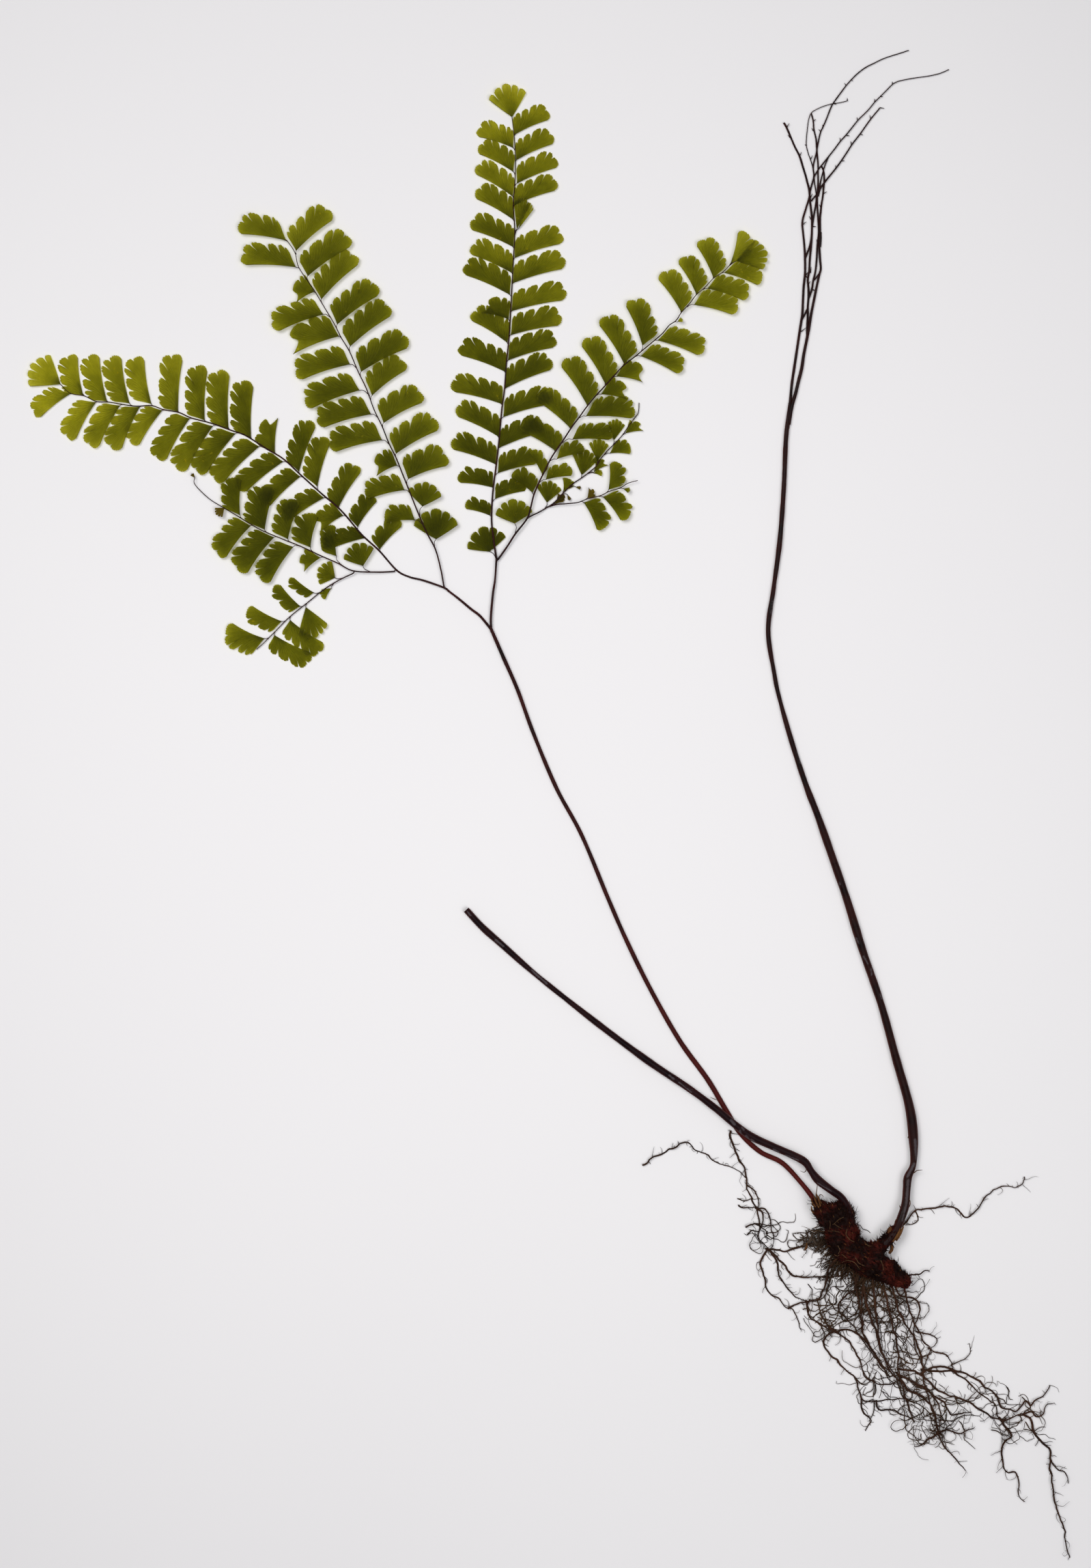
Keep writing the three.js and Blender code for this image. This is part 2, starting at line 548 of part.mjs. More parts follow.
// A smooth curve whose even steps fall on its own points.
class PointwiseCurve extends THREE.CatmullRomCurve3 {
  getUtoTmapping(u) {
    return u;
  }
}

// A stem along points in space, its half breadth changing evenly or by a list, squashed in height.
function stem(points, radii, sides, squash = 1) {
  const path = new PointwiseCurve(points, false, "centripetal");
  const steps = points.length - 1;
  const fine = 0.2;
  const ring = [];
  for (let i = 0; i < sides; i++) {
    const turn = ((i + 0.25) / sides) * Math.PI * 2;
    ring.push(new THREE.Vector2(fine * Math.cos(turn), fine * Math.sin(turn)));
  }
  const geometry = new THREE.ExtrudeGeometry(new THREE.Shape(ring), { steps, extrudePath: path });
  const centres = path.getSpacedPoints(steps);
  const places = geometry.attributes.position;
  const at = new THREE.Vector3();
  for (let i = 0; i < places.count; i++) {
    at.fromBufferAttribute(places, i);
    let nearest = 0;
    centres.forEach((c, k) => {
      if (c.distanceToSquared(at) < centres[nearest].distanceToSquared(at)) nearest = k;
    });
    const along = (nearest / steps) * (radii.length - 1);
    const slot = Math.min(Math.floor(along), radii.length - 2);
    const radius = mix(radii[slot], radii[slot + 1], along - slot);
    const centre = centres[nearest];
    at.sub(centre).multiplyScalar(radius / fine);
    at.z *= squash;
    at.add(centre);
    places.setXYZ(i, at.x, at.y, at.z);
  }
  return solid(geometry);
}

// The points of a line that matter to its shape.
function thin(points, slack) {
  if (points.length < 3) return points;
  const first = points[0];
  const last = points[points.length - 1];
  const chord = last.clone().sub(first);
  let worst = 0;
  let at = 0;
  for (let i = 1; i < points.length - 1; i++) {
    const t = THREE.MathUtils.clamp(points[i].clone().sub(first).dot(chord) / chord.lengthSq(), 0, 1);
    const off = points[i].distanceTo(first.clone().addScaledVector(chord, t));
    if (off > worst) {
      worst = off;
      at = i;
    }
  }
  if (worst < slack) return [first, last];
  return [...thin(points.slice(0, at + 1), slack).slice(0, -1), ...thin(points.slice(at), slack)];
}

// A thin wiry strand: a narrow strip along a line in plan, about its middle height.
function strand(line, radii, slack, height) {
  const points = thin(line, slack);
  const left = [];
  const right = [];
  points.forEach((p, i) => {
    const before = points[Math.max(0, i - 1)];
    const after = points[Math.min(points.length - 1, i + 1)];
    const way = after.clone().sub(before).normalize();
    const across = new THREE.Vector2(-way.y, way.x);
    const radius = mix(radii[0], radii[1], i / (points.length - 1));
    left.push(p.clone().addScaledVector(across, radius));
    right.push(p.clone().addScaledVector(across, -radius));
  });
  const outline = [...right, ...left.reverse()];
  if (THREE.ShapeUtils.isClockWise(outline)) outline.reverse();
  return blade(outline, height);
}

// A flat outline as a blade of even thickness about its height.
function blade(outline, height) {
  const shape = new THREE.Shape(outline);
  const geometry = new THREE.ExtrudeGeometry(shape, { depth: BLADE, bevelEnabled: false });
  geometry.translate(0, 0, height - BLADE / 2);
  return solid(geometry);
}

// The oblong leaflet: nearly straight lower edge, inner edge along the rib, upper edge cut into lobes.
function oblongOutline(root, base, tip, along, share, kept) {
  const reach = tip.clone().sub(base);
  const length = reach.length();
  const side = new THREE.Vector2(-reach.y, reach.x).normalize();
  if (side.dot(along) < 0) side.negate();
  const at = (u, v) => {
    const up = along.clone().lerp(side, Math.min(1, 0.35 + u)).normalize();
    return base.clone().addScaledVector(reach, u).addScaledVector(up, (v - DROOP * u) * share * length);
  };
  const clefts = length > LONG_LEAFLET ? [0.78, 0.54, 0.3] : [0.7, 0.38];
  const outline = [at(0.45 * kept, 0.12)];
  if (kept < 1) {
    outline.push(at(kept, 0.02), at(kept - 0.07, 0.4), at(kept + 0.04, 0.62), at(kept - 0.05, 0.92));
  } else {
    outline.push(at(0.92, 0.1), at(1.0, 0.45), at(0.94, 0.86));
  }
  clefts
    .filter((u) => u < kept - 0.12)
    .forEach((u) => {
      const shift = (draw() - 0.5) * 0.06;
      const depth = 0.58 + 0.14 * draw();
      outline.push(at(u + shift + 0.035, 0.99), at(u + shift - 0.03, depth), at(u + shift - 0.025, 1.0));
    });
  outline.push(at(0.1, 0.92), at(0.02, 0.62));
  return withStalk(outline, root, base, along);
}

// The fan leaflet: straight sides from the base, a rounded outer edge cut into lobes.
function fanOutline(root, base, tip, along, share) {
  const reach = tip.clone().sub(base);
  const length = reach.length();
  const side = new THREE.Vector2(-reach.y, reach.x).normalize();
  if (side.dot(along) < 0) side.negate();
  const spread = THREE.MathUtils.degToRad(share);
  const at = (turn, far) => {
    const radius = length * far * (1 - 0.14 * Math.abs(turn));
    return base
      .clone()
      .addScaledVector(reach, (radius * Math.cos(turn * spread)) / length)
      .addScaledVector(side, radius * Math.sin(turn * spread));
  };
  const outline = [at(-1.05, 0.5), at(-1.0, 0.92)];
  [-0.5, 0.02, 0.52].forEach((turn) => {
    const deep = 0.66 + 0.1 * draw();
    outline.push(at(turn - 0.09, 1.0), at(turn, deep), at(turn + 0.05, 1.0));
  });
  outline.push(at(1.0, 0.92), at(1.05, 0.5));
  return withStalk(outline, root, base, along);
}

// The leaflet's outline with its own short stalk sunk into the rib.
function withStalk(outline, root, base, along) {
  const away = base.clone().sub(root);
  const long = away.length() > 0.75;
  const across = long ? new THREE.Vector2(-away.y, away.x).normalize() : along.clone();
  if (across.dot(along) < 0) across.negate();
  across.multiplyScalar(STALK / 2);
  const ends = [root.clone().add(across), root.clone().sub(across)];
  if (long) return [...outline, base.clone().add(across), ...ends, base.clone().sub(across)];
  return [...outline, ...ends];
}

// One leaflet of an arm: it grows from the nearest place on the rib.
function leaflet([kind, from, to, share], rib, level) {
  const base = plan(from);
  const tip = plan(to);
  let root = rib[0];
  let along = rib[1].clone().sub(rib[0]);
  let best = Infinity;
  for (let i = 0; i < rib.length - 1; i++) {
    const part = rib[i + 1].clone().sub(rib[i]);
    const t = THREE.MathUtils.clamp(base.clone().sub(rib[i]).dot(part) / part.lengthSq(), 0, 1);
    const foot = rib[i].clone().addScaledVector(part, t);
    if (foot.distanceTo(base) < best) {
      best = foot.distanceTo(base);
      root = foot;
      along = part;
    }
  }
  along.normalize();
  let outline;
  if (kind === "fan") outline = fanOutline(root, base, tip, along, share);
  else if (kind === "torn") outline = oblongOutline(root, base, tip, along, TORN_SHARE, share);
  else outline = oblongOutline(root, base, tip, along, share, 1);
  if (THREE.ShapeUtils.isClockWise(outline)) outline.reverse();
  return blade(outline, level);
}

// A leafy arm: the short bend from its parent, then the rib and every leaflet on it, grown together.
function pinna({ rib, from, level, leaflets }) {
  const flat = rib.map(plan);
  const bend = Math.min(2, flat.length - 2);
  const points = flat.slice(0, bend + 1).map((p, i) => {
    const height = mix(from, level, smooth(i / bend));
    return new THREE.Vector3(p.x, p.y, height);
  });
  const pieces = [stem(points, [RIB_RADIUS[0], RIB_RADIUS[0]], RIB_SIDES)];
  pieces.push(strand(flat.slice(bend - 1), RIB_RADIUS, RIB_SLACK, level));
  leaflets.forEach((one) => pieces.push(leaflet(one, flat, level)));
  return join(pieces);
}

const raised = (points) => points.map(([x, y, z]) => lift([x, y], z));

// The fresh stalk with the two arms of its fork.
function freshStipe() {
  return join([
    stem(raised(FRESH_STIPE), STIPE_RADIUS, STALK_SIDES),
    stem(raised(LEFT_ARM), ARM_RADIUS, STALK_SIDES),
    stem(raised(RIGHT_ARM), ARM_RADIUS, STALK_SIDES),
  ]);
}

// The old frond: its stalk, its bare twigs and the stubs on them, grown together.
function oldFrond() {
  const pieces = [stem(raised(OLD_FROND), OLD_FROND_RADIUS, STALK_SIDES)];
  TWIGS.forEach((twig) => {
    pieces.push(strand(twig.map(plan), TWIG_RADIUS, TWIG_SLACK, TWIG_HEIGHT));
  });
  SPURS.forEach(([x, y, right, down]) => {
    const ends = [plan([x, y]), plan([x + right, y + down])];
    pieces.push(strand(ends, SPUR_RADIUS, TWIG_SLACK, TWIG_HEIGHT));
  });
  return join(pieces);
}

// One bristly scale: a thin spike that stands out of a limb and leans back along it.
function bristle(limb) {
  const along = draw() * (limb.length - 1.01);
  const slot = Math.floor(along);
  const a = limb[slot];
  const b = limb[slot + 1];
  const part = along - slot;
  const centre = lift([mix(a[0], b[0], part), mix(a[1], b[1], part)], mix(a[2], b[2], part));
  const axis = plan(b).sub(plan(a)).normalize();
  const turn = mix(-0.25, Math.PI + 0.25, draw());
  const out = new THREE.Vector3(-axis.y * Math.cos(turn), axis.x * Math.cos(turn), Math.sin(turn));
  const skin = out.clone().multiplyScalar(mix(a[3], b[3], part) * SCALE_SINK);
  skin.z *= SQUASH;
  const lean = new THREE.Vector3(-axis.x, -axis.y, 0).multiplyScalar(draw() * 1.4 - 0.2);
  const way = out.clone().add(lean).normalize();
  const spike = new THREE.ConeGeometry(SCALE_RADIUS, mix(...SCALE_LENGTH, draw()), 3);
  spike.translate(0, SCALE_RADIUS, 0);
  spike.applyQuaternion(new THREE.Quaternion().setFromUnitVectors(new THREE.Vector3(0, 1, 0), way));
  spike.translate(centre.x + skin.x, centre.y + skin.y, centre.z + skin.z);
  return solid(spike);
}

// The hole a stalk stands in: the stalk's own form, wider by the clearance, its end carried on a little.
function hole(points, radii) {
  const line = raised(points);
  const wide = radii.map((radius) => radius + GAP);
  const back = line[0].clone().sub(line[1]).normalize();
  const end = [
    line[0].clone().addScaledVector(back, GAP),
    line[0].clone(),
    line[0].clone().addScaledVector(back, -4 * GAP),
  ];
  return stem(line, wide, STALK_SIDES).add(stem(end, [wide[0], wide[0]], STALK_SIDES));
}

// Everything below the surface the plant lies on, to cut the rootstock's underside flat.
function below() {
  const [width, length, depth] = [400, 500, 20];
  const box = new THREE.BoxGeometry(width, length, depth);
  box.translate(0, 0, -depth / 2);
  return solid(box);
}

// The rootstock with its scales and roots, its flat underside, and the holes of the three stalks.
function rootstock() {
  const pieces = ROOTSTOCK.map((limb) =>
    stem(raised(limb), limb.map((point) => point[3]), ROOTSTOCK_SIDES, SQUASH),
  );
  for (let i = 0; i < SCALES; i++) {
    const limb = ROOTSTOCK[i % 6 === 0 ? 1 : i % 9 === 0 ? 2 : 0];
    pieces.push(bristle(limb));
  }
  ROOTS.forEach(([radius, points]) => {
    pieces.push(strand(points.map(plan), [radius, radius * ROOT_TAPER], ROOT_SLACK, ROOT_HEIGHT));
  });
  const cuts = [
    below(),
    hole(FRESH_STIPE, STIPE_RADIUS),
    hole(OLD_STIPE, OLD_STIPE_RADIUS),
    hole(OLD_FROND, OLD_FROND_RADIUS),
  ];
  return join([wasm.Manifold.union(pieces).subtract(wasm.Manifold.union(cuts))]);
}

const fern = new THREE.Group();
function add(name, made, look) {
  const mesh = new THREE.Mesh(geometryOf(made), new THREE.MeshStandardMaterial(look));
  mesh.name = name;
  fern.add(mesh);
}

add("rootstock", rootstock(), ROOT_LOOK);
add("old_cut_stipe", stem(raised(OLD_STIPE), OLD_STIPE_RADIUS, STALK_SIDES), OLD_LOOK);
add("old_leafless_frond", oldFrond(), OLD_LOOK);
add("fresh_stipe", freshStipe(), STIPE_LOOK);
Object.entries(PINNAE).forEach(([name, arm]) => add(name, pinna(arm), GREEN));

export default fern;
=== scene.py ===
"""A bare-root maidenhair fern, lying flat: one fresh forked frond, one old cut stalk, one old leafless
frond, and the scaly rootstock with its wiry roots.

Metres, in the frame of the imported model: +Y along the fronds, away from the roots, +Z up, z = 0 the
surface it lies on. Plan places are (right, down) in steps of UNIT, and heights in millimetres, as in the
part's source.
"""
import math
import random

import bmesh
import bpy
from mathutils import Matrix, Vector, noise
from mathutils.bvhtree import BVHTree


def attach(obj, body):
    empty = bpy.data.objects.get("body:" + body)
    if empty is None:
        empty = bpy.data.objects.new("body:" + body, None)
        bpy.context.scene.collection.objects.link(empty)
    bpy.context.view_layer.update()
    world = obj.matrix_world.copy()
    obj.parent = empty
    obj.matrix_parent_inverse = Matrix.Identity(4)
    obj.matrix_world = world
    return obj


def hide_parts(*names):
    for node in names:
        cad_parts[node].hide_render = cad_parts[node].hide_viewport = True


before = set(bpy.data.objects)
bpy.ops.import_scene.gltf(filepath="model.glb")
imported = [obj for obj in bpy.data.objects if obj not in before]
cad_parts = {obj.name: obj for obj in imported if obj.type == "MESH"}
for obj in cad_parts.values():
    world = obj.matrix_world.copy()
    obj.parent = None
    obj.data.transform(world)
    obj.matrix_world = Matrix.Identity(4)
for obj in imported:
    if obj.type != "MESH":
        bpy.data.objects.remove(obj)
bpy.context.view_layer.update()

MM = 0.001

# A step in plan in millimetres, and the plan place over the frame's origin.
UNIT = 0.183
MID = (801.5, 1178)

# Nothing of the plant comes nearer to the surface than this.
FLOOR_GAP = 0.03 * MM

# Heights of the leafy arms above the surface: neighbours that cross in plan use different levels.
LOW = 0.42
HIGH = 1.15

# The leafy arms. "rib" runs from base to tip, and "joint" is where it leaves its parent and at what
# height; "thick" is half its thickness at the base, "foot" its height there and "level" beyond, all in
# millimetres. "wide" is a factor on the breadth of the leaflets, and "glow" is how light they are at the
# arm's base and at its tip.
# A leaflet is (kind, base, tip, share), and "withered" after that where it is brown. An "oblong" one runs
# from its lower inner corner to the middle of its tip, share being breadth over length; a "fan" spreads by
# share degrees to each side of base to tip; a "torn" one is an oblong with its end gone, tip being where
# it would have ended and share what is left.
ARMS = {
    "arm_1": {
        "rib": [
            (517, 840), (498, 849), (475, 863), (450, 883), (425, 903), (400, 928), (385, 943),
            (376, 951),
        ],
        "joint": (519, 837, 1.12), "thick": 0.18, "wide": 1.22,
        "glow": (0.6, 1.1), "foot": 0.95, "level": LOW,
        "leaflets": [
            ("fan", (491, 846), (466, 833), 52), ("oblong", (460, 868), (424, 848), 0.3),
            ("oblong", (440, 888), (403, 858), 0.36), ("oblong", (413, 910), (362, 893), 0.38),
            ("oblong", (388, 935), (332, 922), 0.5), ("oblong", (486, 861), (473, 876), 0.5),
            ("fan", (448, 889), (463, 934), 34), ("oblong", (425, 908), (472, 952), 0.36),
            ("oblong", (402, 930), (455, 966), 0.36),
        ],
    },
    "arm_2": {
        "rib": [
            (576, 837), (550, 838), (517, 836), (495, 825), (470, 814), (440, 800), (415, 790),
            (380, 775), (350, 757), (330, 745), (310, 733), (295, 720), (285, 708), (286, 700),
        ],
        "joint": (579, 835.5, 0.45), "thick": 0.2, "wide": 1.2,
        "glow": (0.25, 0.75), "foot": 0.5, "level": HIGH,
        "leaflets": [
            ("fan", (532, 829), (520, 796), 52), ("oblong", (493, 815), (484, 769), 0.42),
            ("oblong", (455, 802), (456, 752), 0.56), ("oblong", (422, 790), (430, 732), 0.44),
            ("oblong", (388, 776), (392, 712), 0.5), ("oblong", (352, 755), (344, 699), 0.44),
            ("torn", (470, 817), (425, 836), 0.62), ("oblong", (430, 801), (385, 851), 0.4),
            ("oblong", (402, 787), (350, 836), 0.42), ("oblong", (368, 770), (320, 813), 0.42),
            ("fan", (329, 744), (317, 754), 40, "withered"),
            ("fan", (286, 700), (281, 694), 26, "withered"),
        ],
    },
    "arm_3": {
        "rib": [
            (651, 861), (620, 850), (600, 845), (581, 835), (555, 806), (530, 783), (500, 748),
            (470, 722), (440, 695), (415, 672), (390, 657), (360, 638), (338, 630), (310, 620),
            (280, 612), (262, 604), (240, 600), (222, 594), (200, 595), (178, 592), (160, 589),
            (141, 588), (124, 580), (103, 576), (90, 564),
        ],
        "joint": (658, 867, 0.85), "thick": 0.28, "wide": 1.04,
        "glow": (0.28, 1.8), "foot": 0.85, "level": LOW,
        "leaflets": [
            ("fan", (89, 563), (45, 534), 38), ("oblong", (122, 579), (103, 520), 0.48),
            ("oblong", (157, 588), (135, 520), 0.42), ("oblong", (190, 591), (167, 522), 0.42),
            ("oblong", (222, 592), (200, 523), 0.42), ("oblong", (261, 603), (257, 519), 0.37),
            ("oblong", (300, 616), (293, 536), 0.38), ("oblong", (335, 629), (325, 543), 0.38),
            ("oblong", (368, 643), (360, 558), 0.38), ("torn", (403, 664), (393, 595), 0.72),
            ("oblong", (438, 691), (455, 617), 0.38), ("oblong", (465, 713), (475, 641), 0.4),
            ("oblong", (496, 743), (523, 682), 0.42), ("oblong", (524, 772), (547, 727), 0.48),
            ("oblong", (556, 805), (585, 762), 0.46), ("oblong", (103, 577), (50, 606), 0.46),
            ("oblong", (141, 589), (100, 642), 0.44), ("oblong", (176, 594), (134, 654), 0.4),
            ("oblong", (205, 596), (167, 658), 0.42), ("oblong", (238, 601), (194, 650), 0.42),
            ("oblong", (278, 613), (232, 673), 0.4), ("oblong", (312, 624), (262, 688), 0.4),
            ("oblong", (345, 635), (290, 692), 0.4), ("oblong", (380, 654), (315, 704), 0.38),
            ("oblong", (415, 676), (350, 716), 0.38), ("oblong", (440, 698), (385, 738), 0.4),
            ("oblong", (475, 729), (415, 758), 0.4), ("torn", (503, 755), (440, 778), 0.6),
            ("oblong", (534, 788), (470, 800), 0.38),
        ],
    },
    "arm_4": {
        "rib": [
            (650, 857), (646, 835), (638, 805), (625, 780), (612, 750), (600, 720), (590, 695),
            (580, 670), (570, 650), (560, 625), (548, 600), (537, 570), (525, 545), (512, 515),
            (500, 495), (490, 475), (475, 450), (460, 425), (448, 408), (437, 390), (432, 370),
            (420, 352),
        ],
        "joint": (651.6, 862.5, 0.85), "thick": 0.22, "wide": 1.14,
        "glow": (0.25, 1.05), "foot": 0.9, "level": HIGH,
        "leaflets": [
            ("fan", (639, 790), (638, 745), 58), ("fan", (619, 742), (625, 706), 54),
            ("oblong", (598, 702), (655, 669), 0.5), ("oblong", (580, 665), (640, 618), 0.42),
            ("oblong", (562, 620), (618, 577), 0.44), ("oblong", (545, 580), (592, 530), 0.44),
            ("oblong", (529, 545), (597, 497), 0.38), ("oblong", (513, 508), (571, 450), 0.38),
            ("oblong", (494, 476), (552, 420), 0.38), ("oblong", (471, 439), (521, 375), 0.38),
            ("oblong", (451, 405), (512, 348), 0.38), ("oblong", (434, 368), (484, 310), 0.4),
            ("oblong", (608, 762), (563, 757), 0.5), ("oblong", (593, 718), (535, 722), 0.44),
            ("torn", (582, 682), (518, 690), 0.5), ("oblong", (560, 645), (483, 652), 0.4),
            ("oblong", (544, 607), (465, 617), 0.38), ("oblong", (527, 572), (447, 590), 0.38),
            ("oblong", (513, 534), (433, 547), 0.38), ("torn", (497, 493), (412, 506), 0.82),
            ("oblong", (474, 461), (399, 477), 0.38), ("torn", (461, 428), (396, 438), 0.45),
            ("oblong", (434, 392), (354, 377), 0.36), ("oblong", (420, 353), (350, 332), 0.4),
        ],
    },
    "arm_5": {
        "rib": [
            (727, 818), (723, 790), (720, 760), (722, 720), (727, 680), (731, 645), (735, 600),
            (739, 570), (742, 530), (746, 490), (748, 455), (750, 420), (752, 380), (754, 340),
            (752, 300), (754, 270), (755, 235), (753, 197), (750, 173),
        ],
        "joint": (727, 822, 0.85), "thick": 0.27, "wide": 1.02,
        "glow": (0.28, 1.4), "foot": 0.85, "level": LOW,
        "leaflets": [
            ("fan", (750, 172), (740, 124), 42), ("oblong", (753, 198), (804, 165), 0.46),
            ("oblong", (756, 235), (810, 200), 0.44), ("oblong", (757, 269), (816, 235), 0.42),
            ("oblong", (753, 301), (815, 268), 0.4), ("fan", (757, 336), (766, 289), 17),
            ("fan", (760, 335), (777, 298), 13), ("oblong", (754, 378), (824, 345), 0.4),
            ("oblong", (751, 415), (827, 382), 0.38), ("oblong", (749, 456), (829, 428), 0.36),
            ("oblong", (748, 491), (822, 465), 0.4), ("oblong", (744, 528), (814, 497), 0.4),
            ("oblong", (740, 569), (808, 530), 0.4), ("oblong", (737, 611), (808, 581), 0.4),
            ("oblong", (731, 656), (797, 622), 0.4), ("oblong", (729, 693), (785, 670), 0.48),
            ("oblong", (725, 731), (770, 710), 0.48), ("oblong", (752, 217), (700, 190), 0.48),
            ("oblong", (752, 252), (702, 215), 0.46), ("oblong", (751, 288), (698, 245), 0.42),
            ("oblong", (752, 322), (698, 280), 0.44), ("oblong", (752, 362), (690, 325), 0.42),
            ("oblong", (750, 400), (690, 362), 0.42), ("oblong", (747, 432), (680, 390), 0.4),
            ("torn", (745, 468), (684, 432), 0.55), ("oblong", (743, 502), (692, 458), 0.46),
            ("oblong", (741, 545), (673, 508), 0.4), ("oblong", (736, 592), (662, 562), 0.38),
            ("oblong", (731, 640), (669, 598), 0.4), ("oblong", (726, 680), (662, 647), 0.42),
            ("oblong", (722, 714), (672, 698), 0.48), ("oblong", (718, 755), (682, 738), 0.5),
            ("fan", (717, 808), (706, 772), 66),
        ],
    },
    "arm_6": {
        "rib": [
            (732, 816), (744, 799), (755, 782), (772, 760), (777, 745), (782, 725), (790, 706),
            (798, 690), (808, 670), (825, 645), (838, 625), (848, 612), (858, 598), (870, 583),
            (882, 570), (900, 550), (913, 536), (931, 522), (944, 511), (955, 502), (970, 489),
            (980, 477), (990, 470), (998, 458), (1010, 445), (1020, 432), (1033, 421), (1045, 408),
            (1060, 398), (1072, 385),
        ],
        "joint": (727.5, 821, 0.8), "thick": 0.27, "wide": 1.17,
        "glow": (0.32, 1.15), "foot": 0.75, "level": HIGH,
        "leaflets": [
            ("fan", (754, 767), (751, 731), 62), ("oblong", (780, 722), (752, 692), 0.5),
            ("oblong", (795, 697), (780, 660), 0.36), ("oblong", (814, 661), (765, 621), 0.4),
            ("oblong", (836, 628), (790, 577), 0.38), ("oblong", (860, 594), (828, 527), 0.38),
            ("oblong", (887, 564), (858, 497), 0.38), ("oblong", (914, 533), (884, 466), 0.38),
            ("oblong", (941, 507), (925, 440), 0.4), ("oblong", (998, 458), (970, 400), 0.42),
            ("oblong", (1020, 432), (1000, 378), 0.42), ("oblong", (1045, 408), (1027, 352), 0.44),
            ("oblong", (1069, 388), (1090, 341), 0.46), ("fan", (1078, 383), (1124, 370), 34),
            ("oblong", (799, 703), (838, 690), 0.42), ("oblong", (815, 673), (855, 656), 0.42),
            ("oblong", (838, 644), (897, 636), 0.36), ("oblong", (858, 610), (930, 603), 0.38),
            ("torn", (880, 578), (940, 572), 0.62), ("torn", (903, 552), (962, 548), 0.66),
            ("oblong", (938, 522), (1000, 541), 0.38), ("oblong", (963, 499), (1031, 513), 0.38),
            ("fan", (992, 472), (1000, 468), 30), ("oblong", (1016, 447), (1080, 453), 0.4),
            ("oblong", (1036, 423), (1096, 433), 0.4), ("oblong", (1060, 400), (1116, 411), 0.4),
        ],
    },
    "arm_7": {
        "rib": [
            (776, 757), (790, 750), (800, 744), (812, 736), (825, 722), (840, 708), (852, 700),
            (865, 690), (873, 683), (880, 672), (890, 660), (900, 650), (912, 637), (922, 622),
            (930, 612), (935, 604), (936, 590),
        ],
        "joint": (770, 762, 1.12), "thick": 0.19, "wide": 1.35,
        "glow": (0.5, 0.9), "foot": 1.0, "level": LOW,
        "leaflets": [
            ("fan", (801, 736), (806, 704), 42),
            ("oblong", (825, 720), (830, 700), 0.6),
            ("fan", (852, 696), (860, 659), 36),
            ("fan", (875, 675), (878, 643), 32),
            ("fan", (899, 645), (904, 614), 28),
            ("fan", (843, 713), (851, 715), 24, "withered"),
            ("torn", (815, 738), (823, 718), 0.8, "withered"),
            ("oblong", (812, 738), (825, 732), 0.5, "withered"),
            ("fan", (831, 724), (835, 733), 20, "withered"),
            ("torn", (869, 692), (890, 674), 0.85),
            ("oblong", (870, 693), (882, 695), 0.5),
            ("oblong", (893, 664), (924, 658), 0.5),
            ("torn", (916, 635), (945, 622), 0.8),
        ],
    },
    "arm_8": {
        "rib": [
            (816, 739), (830, 738), (847, 736), (860, 731), (880, 726), (892, 720), (908, 715),
            (920, 708), (934, 704),
        ],
        "joint": (801, 743, 0.5), "thick": 0.17, "wide": 1.3,
        "glow": (0.3, 0.6), "foot": 0.95, "level": HIGH,
        "leaflets": [
            ("torn", (860, 730), (868, 711), 0.75, "withered"),
            ("oblong", (891, 718), (901, 677), 0.46),
            ("oblong", (855, 736), (884, 775), 0.42),
            ("oblong", (883, 728), (918, 760), 0.44),
            ("fan", (913, 716), (923, 719), 28),
        ],
    },
}

# The fresh stalk from rootstock to main fork, and the two arms of the fork: (right, down, height).
FRESH_STIPE = [
    (1216, 1798, 3.9), (1203, 1777, 3.8), (1192, 1756, 3.5), (1172, 1730, 2.6), (1145, 1702, 1.4),
    (1113, 1686, 0.85), (1085, 1660, 0.62), (1063, 1625, 0.6), (1036, 1580, 0.6), (995, 1523, 0.72),
    (953, 1449, 0.8), (918, 1378, 0.8), (890, 1314, 0.7), (852, 1223, 0.6), (815, 1154, 0.6),
    (781, 1073, 0.7), (758, 1010, 0.8), (737, 962, 0.85), (718, 918, 0.85),
]
LEFT_ARM = [(721, 924, 0.85), (704, 903, 0.85), (690, 892, 0.85), (672, 877, 0.85), (655, 864, 0.85)]
RIGHT_ARM = [(720, 926, 0.85), (719, 905, 0.85), (722, 870, 0.85), (725, 850, 0.85), (727, 822, 0.85)]

# The old cut stalk, from rootstock to its cut end: it crosses over the fresh stalk.
OLD_STIPE = [
    (1243, 1794, 4.0), (1242, 1774, 4.0), (1232, 1753, 3.9), (1215, 1740, 3.7), (1197, 1726, 3.5),
    (1187, 1713, 3.3), (1178, 1700, 3.1), (1160, 1690, 2.9), (1130, 1677, 2.6), (1100, 1663, 2.4),
    (1075, 1645, 2.3), (1050, 1624, 2.2), (1010, 1594, 1.9), (953, 1556, 1.4), (889, 1509, 1.05),
    (826, 1460, 1.0), (779, 1422, 1.0), (734, 1382, 0.98), (706, 1357, 0.96), (683, 1332, 0.95),
]

# The old leafless frond's stalk.
OLD_FROND = [
    (1290, 1824, 3.1), (1303, 1811, 3.1), (1313, 1795, 3.0), (1324, 1766, 2.6), (1327, 1740, 2.2),
    (1329, 1723, 1.9), (1337, 1703, 1.6), (1337, 1665, 1.45), (1331, 1618, 1.25), (1312, 1550, 1.15),
    (1290, 1470, 1.05), (1263, 1391, 1.1), (1240, 1317, 1.05), (1218, 1253, 1.05), (1198, 1196, 0.95),
    (1180, 1149, 0.85), (1159, 1085, 0.8), (1141, 1021, 0.75), (1134, 987, 0.7), (1125, 924, 0.65),
    (1133, 861, 0.65), (1142, 792, 0.7), (1148, 712, 0.65), (1151, 643, 0.65), (1157, 590, 0.5),
]

